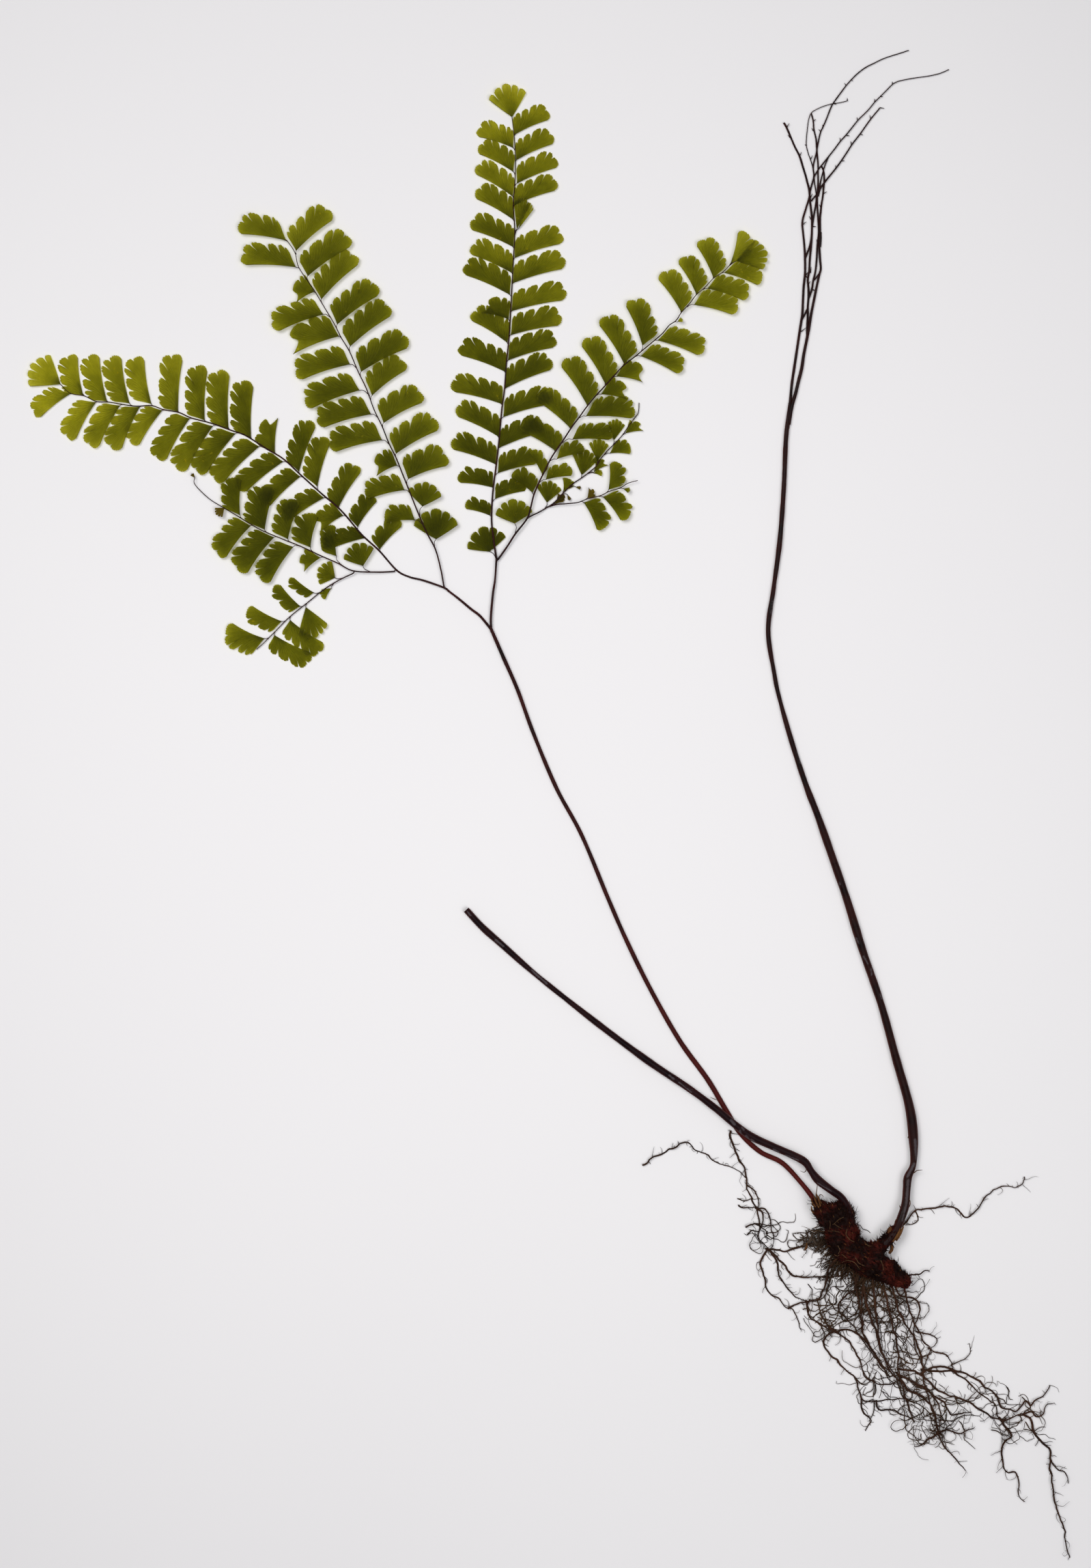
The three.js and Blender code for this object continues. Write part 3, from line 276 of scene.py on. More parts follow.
# Half thicknesses in millimetres at the places of each stalk: they swell and pinch along it.
FRESH_GIRTHS = [
    0.72, 0.75, 0.72, 0.66, 0.66, 0.66, 0.66, 0.7, 0.7, 0.66, 0.6, 0.56, 0.55, 0.53, 0.52, 0.52, 0.5, 0.5,
    0.46,
]
OLD_STIPE_GIRTHS = [
    1.1, 1.1, 1.0, 1.05, 1.25, 0.92, 1.05, 1.0, 1.0, 1.0, 0.96, 0.95, 0.9, 0.97, 0.82, 0.7, 0.7, 0.9, 0.9,
    0.86,
]
OLD_FROND_GIRTHS = [
    1.0, 1.1, 1.15, 1.18, 1.12, 1.15, 0.82, 1.35, 1.2, 1.1, 1.0, 1.08, 1.02, 1.02, 0.94, 0.78, 0.66, 0.6,
    0.56, 0.64, 0.62, 0.68, 0.62, 0.62, 0.42,
]

# Where the old stalks carry pale grey streaks, partly dust and partly painted highlights: (start, end, half
# breadth) in plan units.
OLD_STIPE_DUST_AND_GLINTS = [
    ((1070, 1639), (1075, 1645), 2.6), ((1083, 1655), (1084, 1660), 2.0), ((1086, 1650), (1089, 1653), 1.6),
    ((1092, 1662), (1097, 1669), 2.2), ((1100, 1667), (1105, 1672), 1.8), ((1108, 1674), (1117, 1678), 2.0),
    ((1132, 1681), (1140, 1686), 1.8), ((1150, 1690), (1168, 1697), 1.3), ((980, 1574), (986, 1579), 2.0),
    ((994, 1584), (1012, 1598), 1.1), ((783, 1424), (801, 1440), 1.8), ((779, 1420), (782, 1423), 1.7),
    ((685, 1335), (689, 1340), 1.7), ((726, 1376), (737, 1385), 2.0), ((1196, 1730), (1216, 1742), 1.2),
]
OLD_FROND_DUST_AND_GLINTS = [
    ((1339, 1668), (1340, 1681), 2.6), ((1340, 1683), (1342, 1697), 2.3), ((1338, 1703), (1328, 1721), 2.4),
    ((1329, 1727), (1326, 1760), 2.6), ((1326, 1760), (1320, 1785), 2.0), ((1229, 1292), (1230, 1295), 1.4),
    ((1253, 1373), (1257, 1381), 1.3), ((1264, 1400), (1270, 1410), 1.6), ((1275, 1418), (1276, 1427), 1.4),
    ((1288, 1455), (1291, 1462), 1.0), ((1167, 1100), (1172, 1118), 1.0), ((1132, 880), (1129, 900), 1.0),
]

# The old frond's bare twigs: (half thickness in millimetres at the base, at the tip, places).
TWIGS = [
    (0.4, 0.13, [
        (1154, 628), (1156, 605), (1158, 580), (1160, 560), (1163, 540), (1166, 520), (1169, 500),
        (1172, 480), (1175, 460), (1176, 440), (1177, 420), (1179, 400), (1179, 380), (1178, 360),
        (1176, 340), (1175, 329), (1176, 320), (1179, 310), (1182, 300), (1185, 290), (1187, 278),
        (1190, 267), (1192, 258), (1191, 247), (1192, 238), (1195, 227), (1197, 216), (1199, 205),
        (1202, 193), (1205, 187), (1211, 173), (1216, 160), (1220, 152), (1230, 138), (1239, 126),
        (1246, 118), (1256, 108), (1268, 99), (1280, 93), (1290, 88), (1300, 84), (1319, 78), (1331, 74),
    ]),
    (0.52, 0.22, [
        (1155, 622), (1158, 603), (1161, 590), (1165, 577), (1169, 560), (1174, 540), (1177, 520),
        (1181, 500), (1183, 490), (1185, 480), (1188, 460), (1192, 440), (1196, 420), (1200, 402),
        (1202, 394), (1201, 380), (1200, 360), (1201, 345), (1201, 320), (1202, 310), (1203, 300),
        (1205, 288), (1206, 278), (1207, 267), (1207, 257), (1206, 250), (1203, 243),
    ]),
    (0.3, 0.26, [
        (1182, 492), (1182, 480), (1183, 462), (1183, 450), (1184, 437), (1184, 422), (1183, 410),
        (1185, 398), (1186, 380), (1188, 360), (1189, 340), (1189, 320), (1187, 300), (1186, 290),
        (1185, 278), (1182, 266), (1180, 258), (1176, 245), (1171, 229), (1164, 215), (1158, 201),
        (1152, 187), (1148, 180),
    ]),
    (0.28, 0.2, [
        (1184, 438), (1189, 424), (1191, 411), (1194, 399), (1196, 380), (1197, 360), (1199, 341),
        (1198, 320), (1197, 300), (1197, 285), (1198, 270), (1198, 255), (1198, 240), (1197, 228),
        (1196, 216), (1195, 203), (1192, 190), (1191, 177), (1188, 166),
    ]),
    (0.16, 0.1, [
        (1196, 295), (1195, 282), (1193, 268), (1192, 256), (1190, 244), (1187, 234), (1184, 226),
        (1181, 214), (1181, 204), (1182, 193), (1184, 177), (1188, 166), (1195, 161), (1206, 156),
        (1220, 152), (1229, 151), (1241, 148),
    ]),
    (0.26, 0.22, [
        (1179, 379), (1183, 369), (1186, 360), (1188, 350), (1189, 338), (1191, 322), (1193, 310),
        (1195, 298), (1196, 286),
    ]),
    (0.2, 0.12, [
        (1187, 279), (1190, 267), (1194, 256), (1199, 248), (1206, 239), (1214, 229), (1222, 219),
        (1231, 207), (1240, 197), (1256, 177), (1263, 170), (1272, 161), (1281, 150), (1289, 142),
        (1298, 133), (1307, 124), (1314, 120), (1321, 118), (1331, 116), (1343, 114), (1358, 112),
        (1376, 108), (1390, 102),
    ]),
    (0.2, 0.15, [(1198, 286), (1201, 270), (1204, 257), (1207, 246), (1210, 238), (1214, 229)]),
    (0.26, 0.17, [
        (1198, 288), (1201, 277), (1208, 267), (1215, 258), (1224, 247), (1232, 236), (1240, 224),
        (1247, 213), (1253, 205), (1260, 196), (1275, 175), (1289, 158),
    ]),
    (0.24, 0.22, [(1173, 471), (1178, 462), (1183, 451)]),
    (0.22, 0.2, [(1188, 295), (1191, 291), (1195, 286)]),
    (0.2, 0.18, [(1192, 411), (1196, 406), (1200, 400)]),
    (0.19, 0.13, [(1179, 404), (1182, 406), (1184, 411)]),
    (0.13, 0.12, [(1180, 404), (1182, 400), (1185, 399)]),
    (0.14, 0.12, [(1190, 424), (1193, 427), (1196, 427)]),
    (0.3, 0.25, [(1201, 362), (1202, 350), (1202, 340)]),
]

# The stubs of lost leaf stalks on the twigs: (right, down) of the foot, then how far the end lies from it.
SPURS = [
    (1173, 486, 8, -6), (1152, 187, 4, -6), (1157, 202, -3, -4), (1171, 229, 3, -6), (1187, 234, 3, -6),
    (1181, 214, -2, -2), (1191, 178, 4, -3), (1191, 192, -2, -4), (1246, 117, 3, 2), (1239, 126, -2, -4),
    (1220, 152, 5, 1), (1205, 188, 0, -5), (1202, 193, -3, -3), (1256, 177, -1, -5), (1231, 207, -1, -5),
    (1240, 199, 4, 0), (1281, 150, 0, -5), (1289, 142, 4, 0), (1307, 124, 0, -4), (1289, 158, 6, 1),
    (1275, 175, -1, -6), (1260, 197, 4, 1), (1247, 213, -1, -6), (1232, 236, 5, 0), (1224, 247, 0, -5),
    (1206, 284, 5, -3), (1187, 290, 3, -6), (1175, 330, 6, -5), (1188, 322, -3, -5), (1191, 332, 4, 0),
    (1202, 304, -2, -4), (1197, 357, -1, -6), (1241, 148, 0, -4), (1187, 400, 1, -9), (1183, 418, 4, -6),
]

# The rootstock's limbs: (right, down, height, half breadth in mm with the scales), and the way in plan
# that its scales lie.
ROOTSTOCK = [
    [
        (1221, 1760, 3.6, 3.4), (1225, 1772, 3.6, 5.2), (1230, 1796, 3.5, 5.7), (1239, 1821, 3.4, 5.5),
        (1262, 1840, 3.3, 4.8), (1290, 1855, 3.0, 4.2), (1312, 1868, 2.9, 3.6), (1326, 1878, 2.8, 2.1),
    ],
    [(1262, 1838, 3.1, 3.8), (1285, 1826, 3.0, 2.7), (1300, 1812, 3.0, 1.9), (1309, 1800, 3.0, 1.6)],
    [(1215, 1785, 3.6, 3.6), (1203, 1770, 3.7, 2.6), (1196, 1759, 3.6, 1.7)],
]
ROOTSTOCK_FLOW = (-0.67, 0.74, 0.0)

# Pale root strands that lie over the rootstock.
LAID = [
    [(1190, 1803), (1197, 1801), (1204, 1802), (1212, 1800), (1220, 1799), (1228, 1801)],
    [(1209, 1798), (1218, 1790), (1226, 1783), (1233, 1778)],
    [(1213, 1797), (1214, 1789), (1213, 1784)],
    [(1219, 1789), (1226, 1793), (1232, 1796)],
    [(1238, 1797), (1237, 1804), (1242, 1811), (1249, 1815)],
    [(1288, 1843), (1291, 1850), (1292, 1857)],
    [(1225, 1820), (1228, 1826), (1226, 1833)],
    [(1250, 1838), (1256, 1846), (1264, 1850)],
    [(1217, 1830), (1224, 1836), (1231, 1834), (1239, 1839)],
    [(1262, 1812), (1268, 1820), (1276, 1822)],
    [(1232, 1846), (1241, 1842), (1250, 1846), (1257, 1855)],
]

# Hooked hairs and snags beside the stalks: (half thickness in mm, height in mm, places).
HOOKS = [
    (0.13, 3.0, [(1178, 1703), (1180, 1711), (1177, 1715), (1171, 1713)]),
    (0.1, 0.9, [(1051, 1609), (1046, 1609), (1040, 1606)]),
    (0.16, 2.2, [(1332, 1718), (1338, 1716), (1342, 1713), (1350, 1712)]),
    (0.11, 3.3, [(1316, 1780), (1311, 1784), (1309, 1790), (1312, 1796)]),
    (0.11, 3.6, [(1208, 1786), (1198, 1790), (1195, 1794), (1188, 1797)]),
    (0.09, 2.4, [(1196, 1803), (1189, 1801), (1182, 1797), (1173, 1794)]),
    (0.12, 3.9, [(1196, 1757), (1199, 1748), (1203, 1748), (1205, 1751)]),
    (0.16, 3.9, [(1195, 1758), (1194, 1748), (1195, 1740), (1196, 1731)]),
    (0.3, 1.9, [(1329, 1727), (1324, 1726), (1322, 1729)]),
    (0.22, 1.5, [(1334, 1664), (1330, 1664), (1329, 1666)]),
    (0.12, 2.6, [(1320, 1772), (1317, 1766), (1316, 1763)]),
    (0.13, 2.6, [(1324, 1770), (1331, 1765), (1332, 1758), (1330, 1753)]),
]

# Papery scales at the feet of the stalks, the same way.
COLLAR = [
    (0.3, 4.0, [(1196, 1768), (1190, 1761), (1186, 1752)]),
    (0.33, 4.4, [(1198, 1766), (1194, 1758), (1190, 1748)]),
    (0.3, 4.5, [(1200, 1764), (1198, 1755), (1194, 1745)]),
    (0.24, 4.2, [(1203, 1763), (1200, 1757), (1196, 1750)]),
    (0.28, 3.6, [(1198, 1780), (1189, 1772), (1187, 1764)]),
    (0.4, 3.4, [(1311, 1815), (1317, 1804), (1322, 1794)]),
    (0.36, 3.9, [(1306, 1816), (1313, 1806), (1317, 1796)]),
    (0.5, 2.9, [(1301, 1834), (1305, 1827), (1304, 1818)]),
    (0.62, 3.4, [(1299, 1803), (1302, 1798), (1305, 1795)]),
    (0.42, 1.2, [(1178, 1830), (1181, 1825), (1181, 1819)]),
]

# The main roots: (half thickness in mm before ROOT_SHARE, places). Each starts inside what it grows from.
ROOTS = [
    (0.5, [
        (1260, 1850), (1264, 1880), (1270, 1912), (1283, 1950), (1294, 1985), (1304, 2008), (1316, 2022),
    ]),
    (0.45, [(1276, 1850), (1279, 1890), (1284, 1930), (1289, 1965), (1297, 1990), (1312, 2016)]),
    (0.42, [
        (1290, 1858), (1297, 1900), (1304, 1930), (1312, 1960), (1315, 1990), (1318, 2022), (1325, 2042),
    ]),
    (0.38, [
        (1248, 1850), (1256, 1900), (1259, 1925), (1263, 1950), (1275, 1972), (1286, 1992), (1298, 2012),
    ]),
    (0.42, [
        (1300, 1862), (1310, 1900), (1322, 1932), (1337, 1955), (1347, 1978), (1351, 2003), (1354, 2030),
        (1362, 2055), (1370, 2080), (1373, 2099),
    ]),
    (0.36, [
        (1322, 1872), (1327, 1900), (1333, 1920), (1342, 1942), (1352, 1962), (1361, 1974), (1358, 1990),
        (1352, 2006),
    ]),
    (0.36, [
        (1306, 1866), (1316, 1894), (1335, 1899), (1347, 1912), (1345, 1928), (1338, 1945), (1338, 1962),
        (1345, 1985), (1352, 2006),
    ]),
    (0.36, [(1268, 1850), (1262, 1900), (1262, 1935), (1266, 1960), (1279, 1976), (1290, 1998)]),
    (0.36, [
        (1254, 1856), (1253, 1886), (1240, 1895), (1230, 1906), (1230, 1919), (1241, 1932), (1253, 1946),
        (1265, 1966), (1281, 1986), (1304, 2010),
    ]),
    (0.4, [
        (1214, 1941), (1222, 1949), (1240, 1946), (1256, 1953), (1270, 1968), (1284, 1987), (1296, 2004),
    ]),
    (0.36, [
        (1216, 1942), (1224, 1950), (1238, 1960), (1246, 1968), (1256, 1987), (1263, 2002), (1268, 2015),
        (1278, 2022), (1292, 2027), (1306, 2026), (1318, 2021),
    ]),
    (0.36, [
        (1224, 1946), (1211, 1956), (1206, 1968), (1214, 1980), (1227, 1993), (1240, 2008), (1252, 2017),
        (1256, 2032), (1259, 2046), (1266, 2051), (1280, 2052), (1300, 2050), (1314, 2048), (1332, 2048),
    ]),
    (0.33, [(1259, 2044), (1264, 2065), (1275, 2079), (1267, 2093)]),
    (0.33, [(1282, 2050), (1290, 2063), (1310, 2065), (1320, 2071), (1330, 2074), (1339, 2081)]),
    (0.4, [(1325, 2042), (1332, 2062), (1338, 2082)]),
    (0.45, [(1312, 2010), (1330, 2035), (1350, 2045), (1365, 2060), (1372, 2084), (1372, 2100)]),
    (0.4, [(1318, 2014), (1342, 2026), (1360, 2036), (1372, 2052), (1378, 2072), (1372, 2099)]),
    (0.4, [
        (1314, 2004), (1340, 2008), (1358, 2020), (1370, 2031), (1385, 2040), (1402, 2046), (1420, 2052),
        (1432, 2063), (1450, 2072), (1463, 2078), (1476, 2077), (1491, 2070), (1504, 2068),
    ]),
    (0.4, [
        (1348, 2012), (1365, 2002), (1380, 2001), (1395, 2006), (1412, 2009), (1421, 2016), (1433, 2022),
        (1441, 2031), (1453, 2037), (1461, 2049), (1467, 2060), (1479, 2063), (1488, 2065), (1496, 2056),
        (1502, 2050), (1509, 2058), (1514, 2050), (1526, 2046), (1531, 2039), (1539, 2028),
    ]),
    (0.36, [
        (1348, 2006), (1375, 2008), (1395, 2008), (1410, 2016), (1420, 2027), (1431, 2036), (1441, 2043),
        (1449, 2051), (1459, 2059), (1461, 2074),
    ]),
    (0.42, [
        (1498, 2069), (1508, 2077), (1513, 2095), (1521, 2107), (1531, 2115), (1538, 2125), (1538, 2138),
        (1536, 2148), (1541, 2160), (1540, 2172), (1543, 2185), (1545, 2200), (1549, 2215), (1555, 2228),
        (1559, 2245), (1562, 2265), (1566, 2280),
    ]),
    (0.38, [
        (1462, 2074), (1474, 2091), (1482, 2101), (1473, 2108), (1467, 2119), (1467, 2132), (1470, 2149),
        (1477, 2156), (1487, 2155), (1491, 2162), (1491, 2176), (1491, 2190), (1499, 2199),
    ]),
    (0.3, [(1538, 2134), (1541, 2143), (1549, 2151), (1557, 2153), (1563, 2162), (1564, 2171)]),
    (0.3, [
        (1500, 2068), (1512, 2066), (1519, 2074), (1528, 2070), (1531, 2061), (1535, 2055), (1543, 2053),
    ]),
    (0.36, [(1370, 2096), (1385, 2094), (1400, 2098), (1413, 2096), (1427, 2089)]),
    (0.36, [(1376, 2096), (1358, 2108), (1350, 2115), (1340, 2117)]),
    (0.33, [(1371, 2094), (1382, 2115), (1395, 2130), (1405, 2143), (1415, 2155)]),
    (0.33, [
        (1364, 2040), (1380, 2052), (1386, 2062), (1392, 2070), (1403, 2070), (1413, 2068), (1424, 2068),
    ]),
    (0.3, [(1358, 1974), (1372, 1981), (1385, 1984), (1393, 1995), (1396, 2008)]),
    (0.3, [(1340, 1949), (1352, 1952), (1363, 1954), (1371, 1960), (1369, 1970), (1358, 1977)]),
    (0.36, [
        (1069, 1654), (1069, 1662), (1073, 1673), (1078, 1686), (1081, 1698), (1089, 1707), (1092, 1722),
        (1094, 1739), (1101, 1755), (1108, 1768), (1111, 1785), (1111, 1800), (1111, 1812), (1118, 1821),
        (1128, 1831),
    ]),
    (0.3, [
        (941, 1705), (948, 1703), (954, 1697), (975, 1685), (986, 1682), (998, 1674), (1009, 1673),
        (1018, 1684), (1035, 1690), (1048, 1700), (1060, 1705), (1072, 1709), (1085, 1717), (1093, 1727),
    ]),
    (0.3, [(1093, 1734), (1103, 1742), (1110, 1755), (1110, 1770)]),
    (0.33, [(1108, 1768), (1118, 1778), (1116, 1790), (1111, 1802)]),
    (0.3, [(1106, 1768), (1121, 1771), (1128, 1785), (1130, 1800), (1133, 1815), (1128, 1832)]),
    (0.3, [(1082, 1765), (1088, 1769), (1100, 1768), (1110, 1766)]),
    (0.3, [(1092, 1796), (1100, 1791), (1112, 1792), (1130, 1794)]),
    (0.3, [(1094, 1809), (1100, 1801), (1112, 1804)]),
    (0.36, [
        (1120, 1828), (1140, 1831), (1152, 1833), (1163, 1828), (1176, 1825), (1192, 1820), (1224, 1812),
    ]),
    (0.4, [
        (1122, 1828), (1140, 1843), (1150, 1854), (1160, 1865), (1171, 1869), (1186, 1870), (1210, 1870),
        (1236, 1866), (1256, 1850),
    ]),
    (0.36, [
        (1124, 1828), (1138, 1848), (1140, 1862), (1145, 1876), (1157, 1889), (1169, 1900), (1185, 1905),
        (1200, 1903),
    ]),
    (0.33, [
        (1124, 1828), (1115, 1845), (1116, 1858), (1120, 1872), (1122, 1885), (1128, 1895), (1140, 1902),
        (1150, 1913), (1159, 1916), (1166, 1925), (1170, 1938), (1174, 1948),
    ]),
    (0.36, [(1153, 1915), (1170, 1909), (1188, 1906), (1200, 1902)]),
    (0.45, [(1232, 1836), (1214, 1856), (1210, 1874), (1206, 1890), (1197, 1903), (1180, 1906)]),
    (0.36, [(1180, 1903), (1184, 1925), (1195, 1936), (1210, 1945), (1224, 1947)]),
    (0.33, [
        (1278, 1842), (1300, 1816), (1312, 1803), (1326, 1792), (1334, 1780), (1344, 1771), (1365, 1769),
        (1382, 1766), (1397, 1768), (1409, 1778), (1418, 1781), (1432, 1769), (1443, 1753), (1458, 1741),
        (1473, 1736), (1489, 1738), (1498, 1732), (1500, 1723),
    ]),
    (0.33, [(1312, 1868), (1336, 1866), (1347, 1865), (1354, 1861), (1361, 1862)]),
]

# Thinner root strands beside them.
STRANDS = [
    [(1250, 1856), (1258, 1904), (1253, 1922), (1240, 1932), (1225, 1940), (1217, 1948)],
    [(1252, 2016), (1263, 2027), (1276, 2021), (1284, 2008)],
    [(1280, 2050), (1280, 2065), (1273, 2081)],
    [(1314, 2018), (1322, 2045), (1345, 2056), (1360, 2068), (1366, 2088), (1373, 2099)],
    [(1080, 1755), (1091, 1758), (1103, 1754)],
    [(1196, 1900), (1203, 1925), (1214, 1941), (1226, 1950)],
    [(1238, 1840), (1222, 1858), (1214, 1880), (1206, 1900), (1190, 1906)],
    [(1392, 1999), (1405, 1993), (1415, 1988), (1421, 1980), (1420, 1967)],
    [(1341, 1773), (1345, 1785), (1338, 1792), (1326, 1794)],
    [(1374, 2079), (1394, 2080), (1405, 2075), (1416, 2072), (1435, 2073)],
]

# Where the finest roots tangle: (right, down, radius of the tangle, how many), and the heading in plan
# that most of them fall to.
TANGLES = [
    (1198, 1925, 24, 14), (1222, 1885, 40, 24), (1262, 1900, 34, 22), (1300, 1940, 50, 42),
    (1310, 2010, 50, 40), (1360, 2062, 42, 36), (1420, 2060, 30, 12), (1485, 2070, 42, 20),
    (1114, 1800, 15, 8), (1184, 1806, 15, 13), (1285, 1890, 36, 30),
]
ROOT_FALL = -0.95

# Roots caked with soil, and where crumbs of it cling to the tangles: a place and a radius in plan units.
CAKED = [
    [(1207, 1806), (1199, 1803), (1193, 1806), (1187, 1803)],
    [(1199, 1803), (1199, 1812), (1200, 1820), (1197, 1828), (1194, 1834)],
    [(1190, 1805), (1188, 1812), (1184, 1818), (1179, 1823)],
    [(1190, 1812), (1194, 1820), (1198, 1826)],
    [(1206, 1810), (1203, 1817), (1205, 1826)],
    [(1176, 1824), (1186, 1817), (1195, 1812)],
]
SOIL_PLACE = (1184, 1806)
SOIL_RADIUS = 22


# ------------------------------------------------------------------ places and lines


def plan(place, height=0.0):
    """A place in plan, and a height in millimetres, as a point in metres."""
    right, down = place[0], place[1]
    return Vector(((right - MID[0]) * UNIT, (MID[1] - down) * UNIT, height)) * MM


def way_of(heading, rise=0.0):
    """A heading in plan, with its rise, as a vector."""
    return Vector((math.cos(heading), math.sin(heading), rise))


def mix(a, b, share):
    return a + (b - a) * share


def step_at(values, share):
    """The step of a list that a share of its length falls in, and how far along that step it is."""
    along = share * (len(values) - 1)
    step = min(int(along), len(values) - 2)
    return step, along - step


def spread(values, share):
    """The value at a share of the way along a list of values, evenly spaced."""
    step, part = step_at(values, share)
    return mix(values[step], values[step + 1], part)


def stalk_line(places, girths):
    """(point, radius) pairs of a stalk whose places carry heights, its girths spread along it."""
    last = len(places) - 1
    thick = [spread(girths, k / last) for k in range(last + 1)]
    return [(plan(p, max(p[2], half)), half * MM) for p, half in zip(places, thick)]


def flat_strand(places, girths, heights):
    """A strand lying flat: places in plan, its girths and heights in millimetres spread along it."""
    last = len(places) - 1
    return [
        (plan(p, spread(heights, k / last)), spread(girths, k / last) * MM)
        for k, p in enumerate(places)
    ]


# ------------------------------------------------------------------ meshes and pieces


def placed(name, data, collection=None):
    made = bpy.data.objects.new(name, data)
    (collection or bpy.context.scene.collection).objects.link(made)
    return made


def plain_mesh(name, points, edges=(), faces=()):
    mesh = bpy.data.meshes.new(name)
    mesh.from_pydata(points, edges, faces)
    return mesh


def line_object(name, strands):
    """Strands of (point, radius) pairs as one mesh of edges, each point with its radius and its reach,
    the distance from the strand's base."""
    points, edges, radii, reaches = [], [], [], []
    for strand in strands:
        reach = 0.0
        for k, (point, radius) in enumerate(strand):
            if k:
                reach += (point - strand[k - 1][0]).length
                edges.append((len(points) - 1, len(points)))
            points.append(point)
            radii.append(radius)
            reaches.append(reach)
    mesh = plain_mesh(name, points, edges)
    for key, values in (("radius", radii), ("reach", reaches)):
        mesh.attributes.new(key, "FLOAT", "POINT").data.foreach_set("value", values)
    return placed(name, mesh)


def baked(source):
    """What an object's modifiers make of it, as a mesh."""
    return bpy.data.meshes.new_from_object(source.evaluated_get(bpy.context.evaluated_depsgraph_get()))


def grown(source, tree, name, **values):
    """What a tree makes of an object, as a plain object with that name; the source is used up. The values
    go to the tree's inputs of the same names."""
    modifier = source.modifiers.new(name, "NODES")
    modifier.node_group = tree
    sockets = {s.name: s.identifier for s in tree.interface.items_tree if s.in_out == "INPUT"}
    for key, value in values.items():
        modifier[sockets[key.replace("_", " ")]] = value
    mesh = baked(source)
    source.modifiers.remove(modifier)
    bpy.data.objects.remove(source)
    mesh.name = name
    return placed(name, mesh)


def finish_piece(piece, node):
    """A finished piece rides on the plant and stands for its node, whose part is hidden."""
    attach(piece, "root")
    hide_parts(node)
    return piece


def stem_piece(name, lines, tree, look, slot="root", node="rootstock", **values):
    """Strands grown into one finished piece."""
    return finish_piece(grown(line_object(name, lines), tree, name, Look=look, **values), node)


# ------------------------------------------------------------------ geometry trees


class Nodes:
    """A tree of nodes while it is built, joined by their sockets' names."""

    def __init__(self, tree):
        self.tree = tree

    def feed(self, socket, source):
        """Links a socket to another one, or sets it to a value; a colour is (red, green, blue)."""
        if isinstance(source, bpy.types.NodeSocket):
            self.tree.links.new(source, socket)
        elif socket.type == "RGBA":
            socket.default_value = (*source, 1.0)
        else:
            socket.default_value = source

    def node(self, kind, sources=None, **settings):
        """A new node with its settings, its inputs linked or set; its first live output is returned."""
        made = self.tree.nodes.new(kind)
        for key, value in settings.items():
            setattr(made, key, value)
        for key, source in (sources or {}).items():
            live = [s for s in made.inputs if s.enabled]
            self.feed(live[key] if isinstance(key, int) else next(s for s in live if s.name == key), source)
        return next(s for s in made.outputs if s.enabled)

    def math(self, operation, *values, clamp=False):
        return self.node("ShaderNodeMath", dict(enumerate(values)), operation=operation, use_clamp=clamp)

    def vector(self, operation, *values):
        """Vector maths; the scale operation takes a vector and a number."""
        sources = dict(enumerate(values))
        if operation == "SCALE":
            sources = {0: values[0], "Scale": values[1]}
        return self.node("ShaderNodeVectorMath", sources, operation=operation)

    def number(self, operation, *vectors):
        """Vector maths whose answer is a number."""
        return self.vector(operation, *vectors).node.outputs["Value"]

    def split(self, vector):
        """The x, y and z of a vector."""
        return self.node("ShaderNodeSeparateXYZ", {0: vector}).node.outputs


